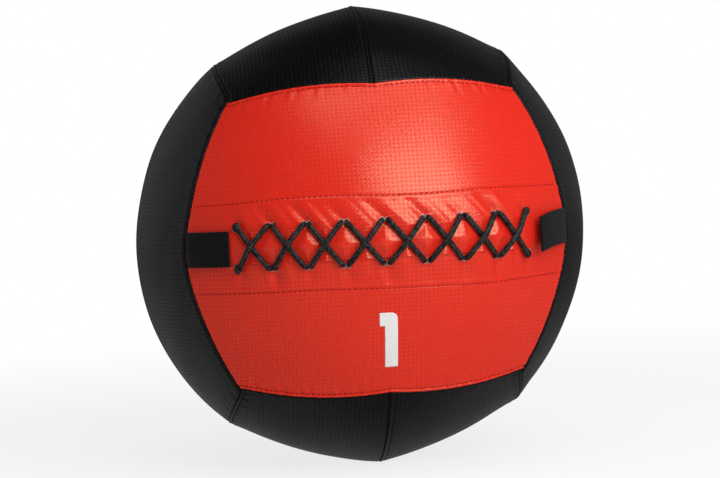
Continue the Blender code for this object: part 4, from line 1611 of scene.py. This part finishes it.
class WALLBALL_OT_padding(bpy.types.Operator):
    """Finish the facings, pads, liner and stuffing inside the cover"""

    bl_idname = "wallball.padding"
    bl_label = "Padding"

    def execute(self, context):
        padding = context.scene.wall_ball_padding
        backing = cloth_material("facing_weave", padding.backing, 0.0012, 0.00006)
        foam = foam_material("open_foam", padding.foam, 900.0, 0.0004)
        liner = cloth_material("liner_weave", padding.liner, 0.0016, 0.00008)
        fibre = foam_material("matted_fibre", padding.fibre, 260.0, 0.001)
        pads = ("front_upper", "front_lower", "back", "top", "bottom", "left", "right")
        for material, names in (
            (backing, ("upper_facing", "lower_facing")),
            (foam, [f"{name}_pad" for name in pads]),
            (liner, ("liner_bag",)),
            (fibre, ("stuffing",)),
        ):
            for name in names:
                finish_node(name, material)
        return {"FINISHED"}


def add_lamp(name, power, size, place):
    """A square soft lamp that faces the ball's centre."""
    data = bpy.data.lights.new(name, "AREA")
    data.shape = "RECTANGLE"
    data.energy = power
    data.size, data.size_y = size
    lamp = add_object(name, data)
    lamp.location = place
    lamp.rotation_euler = (Vector(CENTRE) - Vector(place)).to_track_quat("-Z", "Y").to_euler()


def ray_kinds(tree):
    """1 for rays that look at the stage itself, from the camera or through glass, and 1 for
    rays that see it mirrored."""
    rays = tree.nodes.new("ShaderNodeLightPath").outputs
    straight = Shade(tree, rays["Is Camera Ray"]).math("MAXIMUM", rays["Is Transmission Ray"])
    return straight, Shade(tree, rays["Is Glossy Ray"])


def add_floor(stage):
    """A wide pale floor. The camera sees it white, with the ball's shadow near the ball, and
    the ball's gloss mirrors a dim one, dimmer behind the ball and to its right."""
    reach = 8.0
    mesh = bpy.data.meshes.new("floor")
    corners = [(x * reach, y * reach, 0) for x, y in ((-1, -1), (1, -1), (1, 1), (-1, 1))]
    mesh.from_pydata(corners, [], [(0, 1, 2, 3)])
    material, tree, shader = start_material("floor", 0.9, 0.0)
    shader.inputs["Base Color"].default_value = stage.floor
    straight, glossy = ray_kinds(tree)
    far_off = made(tree, "VectorMath", (object_places(tree),), output="Value", operation="LENGTH")
    unshaded = straight * far_off.span(0.45, 1.3, 0.8, 1.0)
    x, y = axes_of(tree, object_places(tree), 2)
    mirrored = (x + y).span(0.1, 1.2, 0.22, 0.09)
    glow = made(tree, "Emission", {"Strength": mixed(tree, glossy, 1.0, mirrored)})
    mix = made(tree, "MixShader", (unshaded.math("MAXIMUM", glossy), shader.outputs[0], glow))
    put(tree, tree.nodes["Material Output"], "Surface", mix)
    mesh.materials.append(material)
    add_object("floor", mesh)


def add_world(stage):
    """A white background for the camera and an even dim light from all round. Mirrored rays
    see dim walls in its place: darkest on the camera's side, lightest beside and behind the
    ball, half as light straight behind it, lighter on the left, under a dark ceiling."""
    world = bpy.data.worlds.new("studio")
    bpy.context.scene.world = world
    world.use_nodes = True
    tree = world.node_tree
    back = tree.nodes["Background"]
    back.inputs["Color"].default_value = (1, 1, 1, 1)
    x, y, z = axes_of(tree, made(tree, "TexCoord", output="Generated"))
    ceiling, backdrop = z.span(0.35, 0.7, 1.0, 0.03), y.span(-0.5, 0.3, 0.03, 0.26)
    right, far = x.span(-0.7, 0.7, 1.2, 0.7), y.span(0.5, 1.0, 1.0, 0.5)
    walls = ceiling * backdrop * (right * far)
    straight, glossy = ray_kinds(tree)
    seen = mixed(tree, straight, mixed(tree, glossy, stage.world, walls), 1.0)
    put(tree, back, "Strength", seen)


def add_camera(stage):
    """The camera in front of the lacing, a little to its left and rolled by 3 degrees."""
    yaw, pitch, roll = (math.radians(degrees) for degrees in (5.84, 1.355, -3.03))
    sensor, picture_width = 36, 720
    right_shift, up_shift = -2.1, -4.5
    turn = (
        Matrix.Rotation(roll, 3, "Y")
        @ Matrix.Rotation(pitch, 3, "X")
        @ Matrix.Rotation(yaw, 3, "Z")
    )
    right, ahead, up = turn
    pixels = stage.lens / sensor * picture_width
    place = Vector(CENTRE) - ahead * stage.distance
    offset = right * (right_shift / pixels) + up * (up_shift / pixels)
    forward = (ahead + offset).normalized()
    side = forward.cross(up).normalized()
    above = side.cross(forward)
    data = bpy.data.cameras.new("camera")
    data.lens = stage.lens
    data.sensor_width = sensor
    camera = add_object("camera", data)
    axes = Matrix((side, above, -forward)).transposed()
    camera.matrix_world = Matrix.Translation(place) @ axes.to_4x4()
    bpy.context.scene.camera = camera


class WALLBALL_OT_stage(bpy.types.Operator):
    """Set up the floor, the lamps, the background and the camera"""

    bl_idname = "wallball.stage"
    bl_label = "Stage"

    def execute(self, context):
        stage = context.scene.wall_ball_stage
        add_floor(stage)
        add_world(stage)
        for name, power, size, place in (
            ("key", stage.key_power, (1.5, 1.0), (0.71, -1.52, 1.07)),
            ("low", stage.low_power, (0.9, 0.5), (0.88, -1.65, 0.47)),
            ("top", stage.top_power, (2.2, 1.0), (0.2, -0.74, 1.91)),
        ):
            add_lamp(name, power, size, place)
        add_camera(stage)
        context.scene.view_settings.view_transform = "Standard"
        return {"FINISHED"}


class WALLBALL_PT_pieces(bpy.types.Panel):
    """Lists the steps that dress the ball"""

    bl_idname = "WALLBALL_PT_pieces"
    bl_label = "Wall Ball"
    bl_space_type = "VIEW_3D"
    bl_region_type = "UI"
    bl_category = "Wall Ball"

    def draw(self, context):
        for operator in OPERATORS:
            self.layout.operator(operator.bl_idname)
        for group in SETTINGS:
            box = self.layout.box()
            values = getattr(context.scene, group)
            box.label(text=group.replace("wall_ball_", "").capitalize())
            for name in values.bl_rna.properties.keys():
                if name not in ("rna_type", "name"):
                    box.prop(values, name)


SETTINGS = {
    "wall_ball_cover": CoverSettings,
    "wall_ball_thread": ThreadSettings,
    "wall_ball_lacing": LacingSettings,
    "wall_ball_tabs": TabSettings,
    "wall_ball_numeral": NumeralSettings,
    "wall_ball_padding": PaddingSettings,
    "wall_ball_stage": StageSettings,
}
OPERATORS = (
    WALLBALL_OT_stage,
    WALLBALL_OT_panels,
    WALLBALL_OT_stitching,
    WALLBALL_OT_cover_strip,
    WALLBALL_OT_lace,
    WALLBALL_OT_eyelets,
    WALLBALL_OT_tabs,
    WALLBALL_OT_numeral,
    WALLBALL_OT_padding,
)


def register():
    """Registers the settings, the operators and the panel."""
    for name, group in SETTINGS.items():
        bpy.utils.register_class(group)
        setattr(bpy.types.Scene, name, PointerProperty(type=group))
    for operator in OPERATORS:
        bpy.utils.register_class(operator)
    bpy.utils.register_class(WALLBALL_PT_pieces)


def unregister():
    """Removes what register added."""
    bpy.utils.unregister_class(WALLBALL_PT_pieces)
    for operator in reversed(OPERATORS):
        bpy.utils.unregister_class(operator)
    for name, group in SETTINGS.items():
        delattr(bpy.types.Scene, name)
        bpy.utils.unregister_class(group)


def main():
    """Dresses the ball and sets the stage."""
    register()
    for operator in OPERATORS:
        getattr(bpy.ops.wallball, operator.bl_idname.split(".")[1])()


if __name__ == "__main__":
    main()
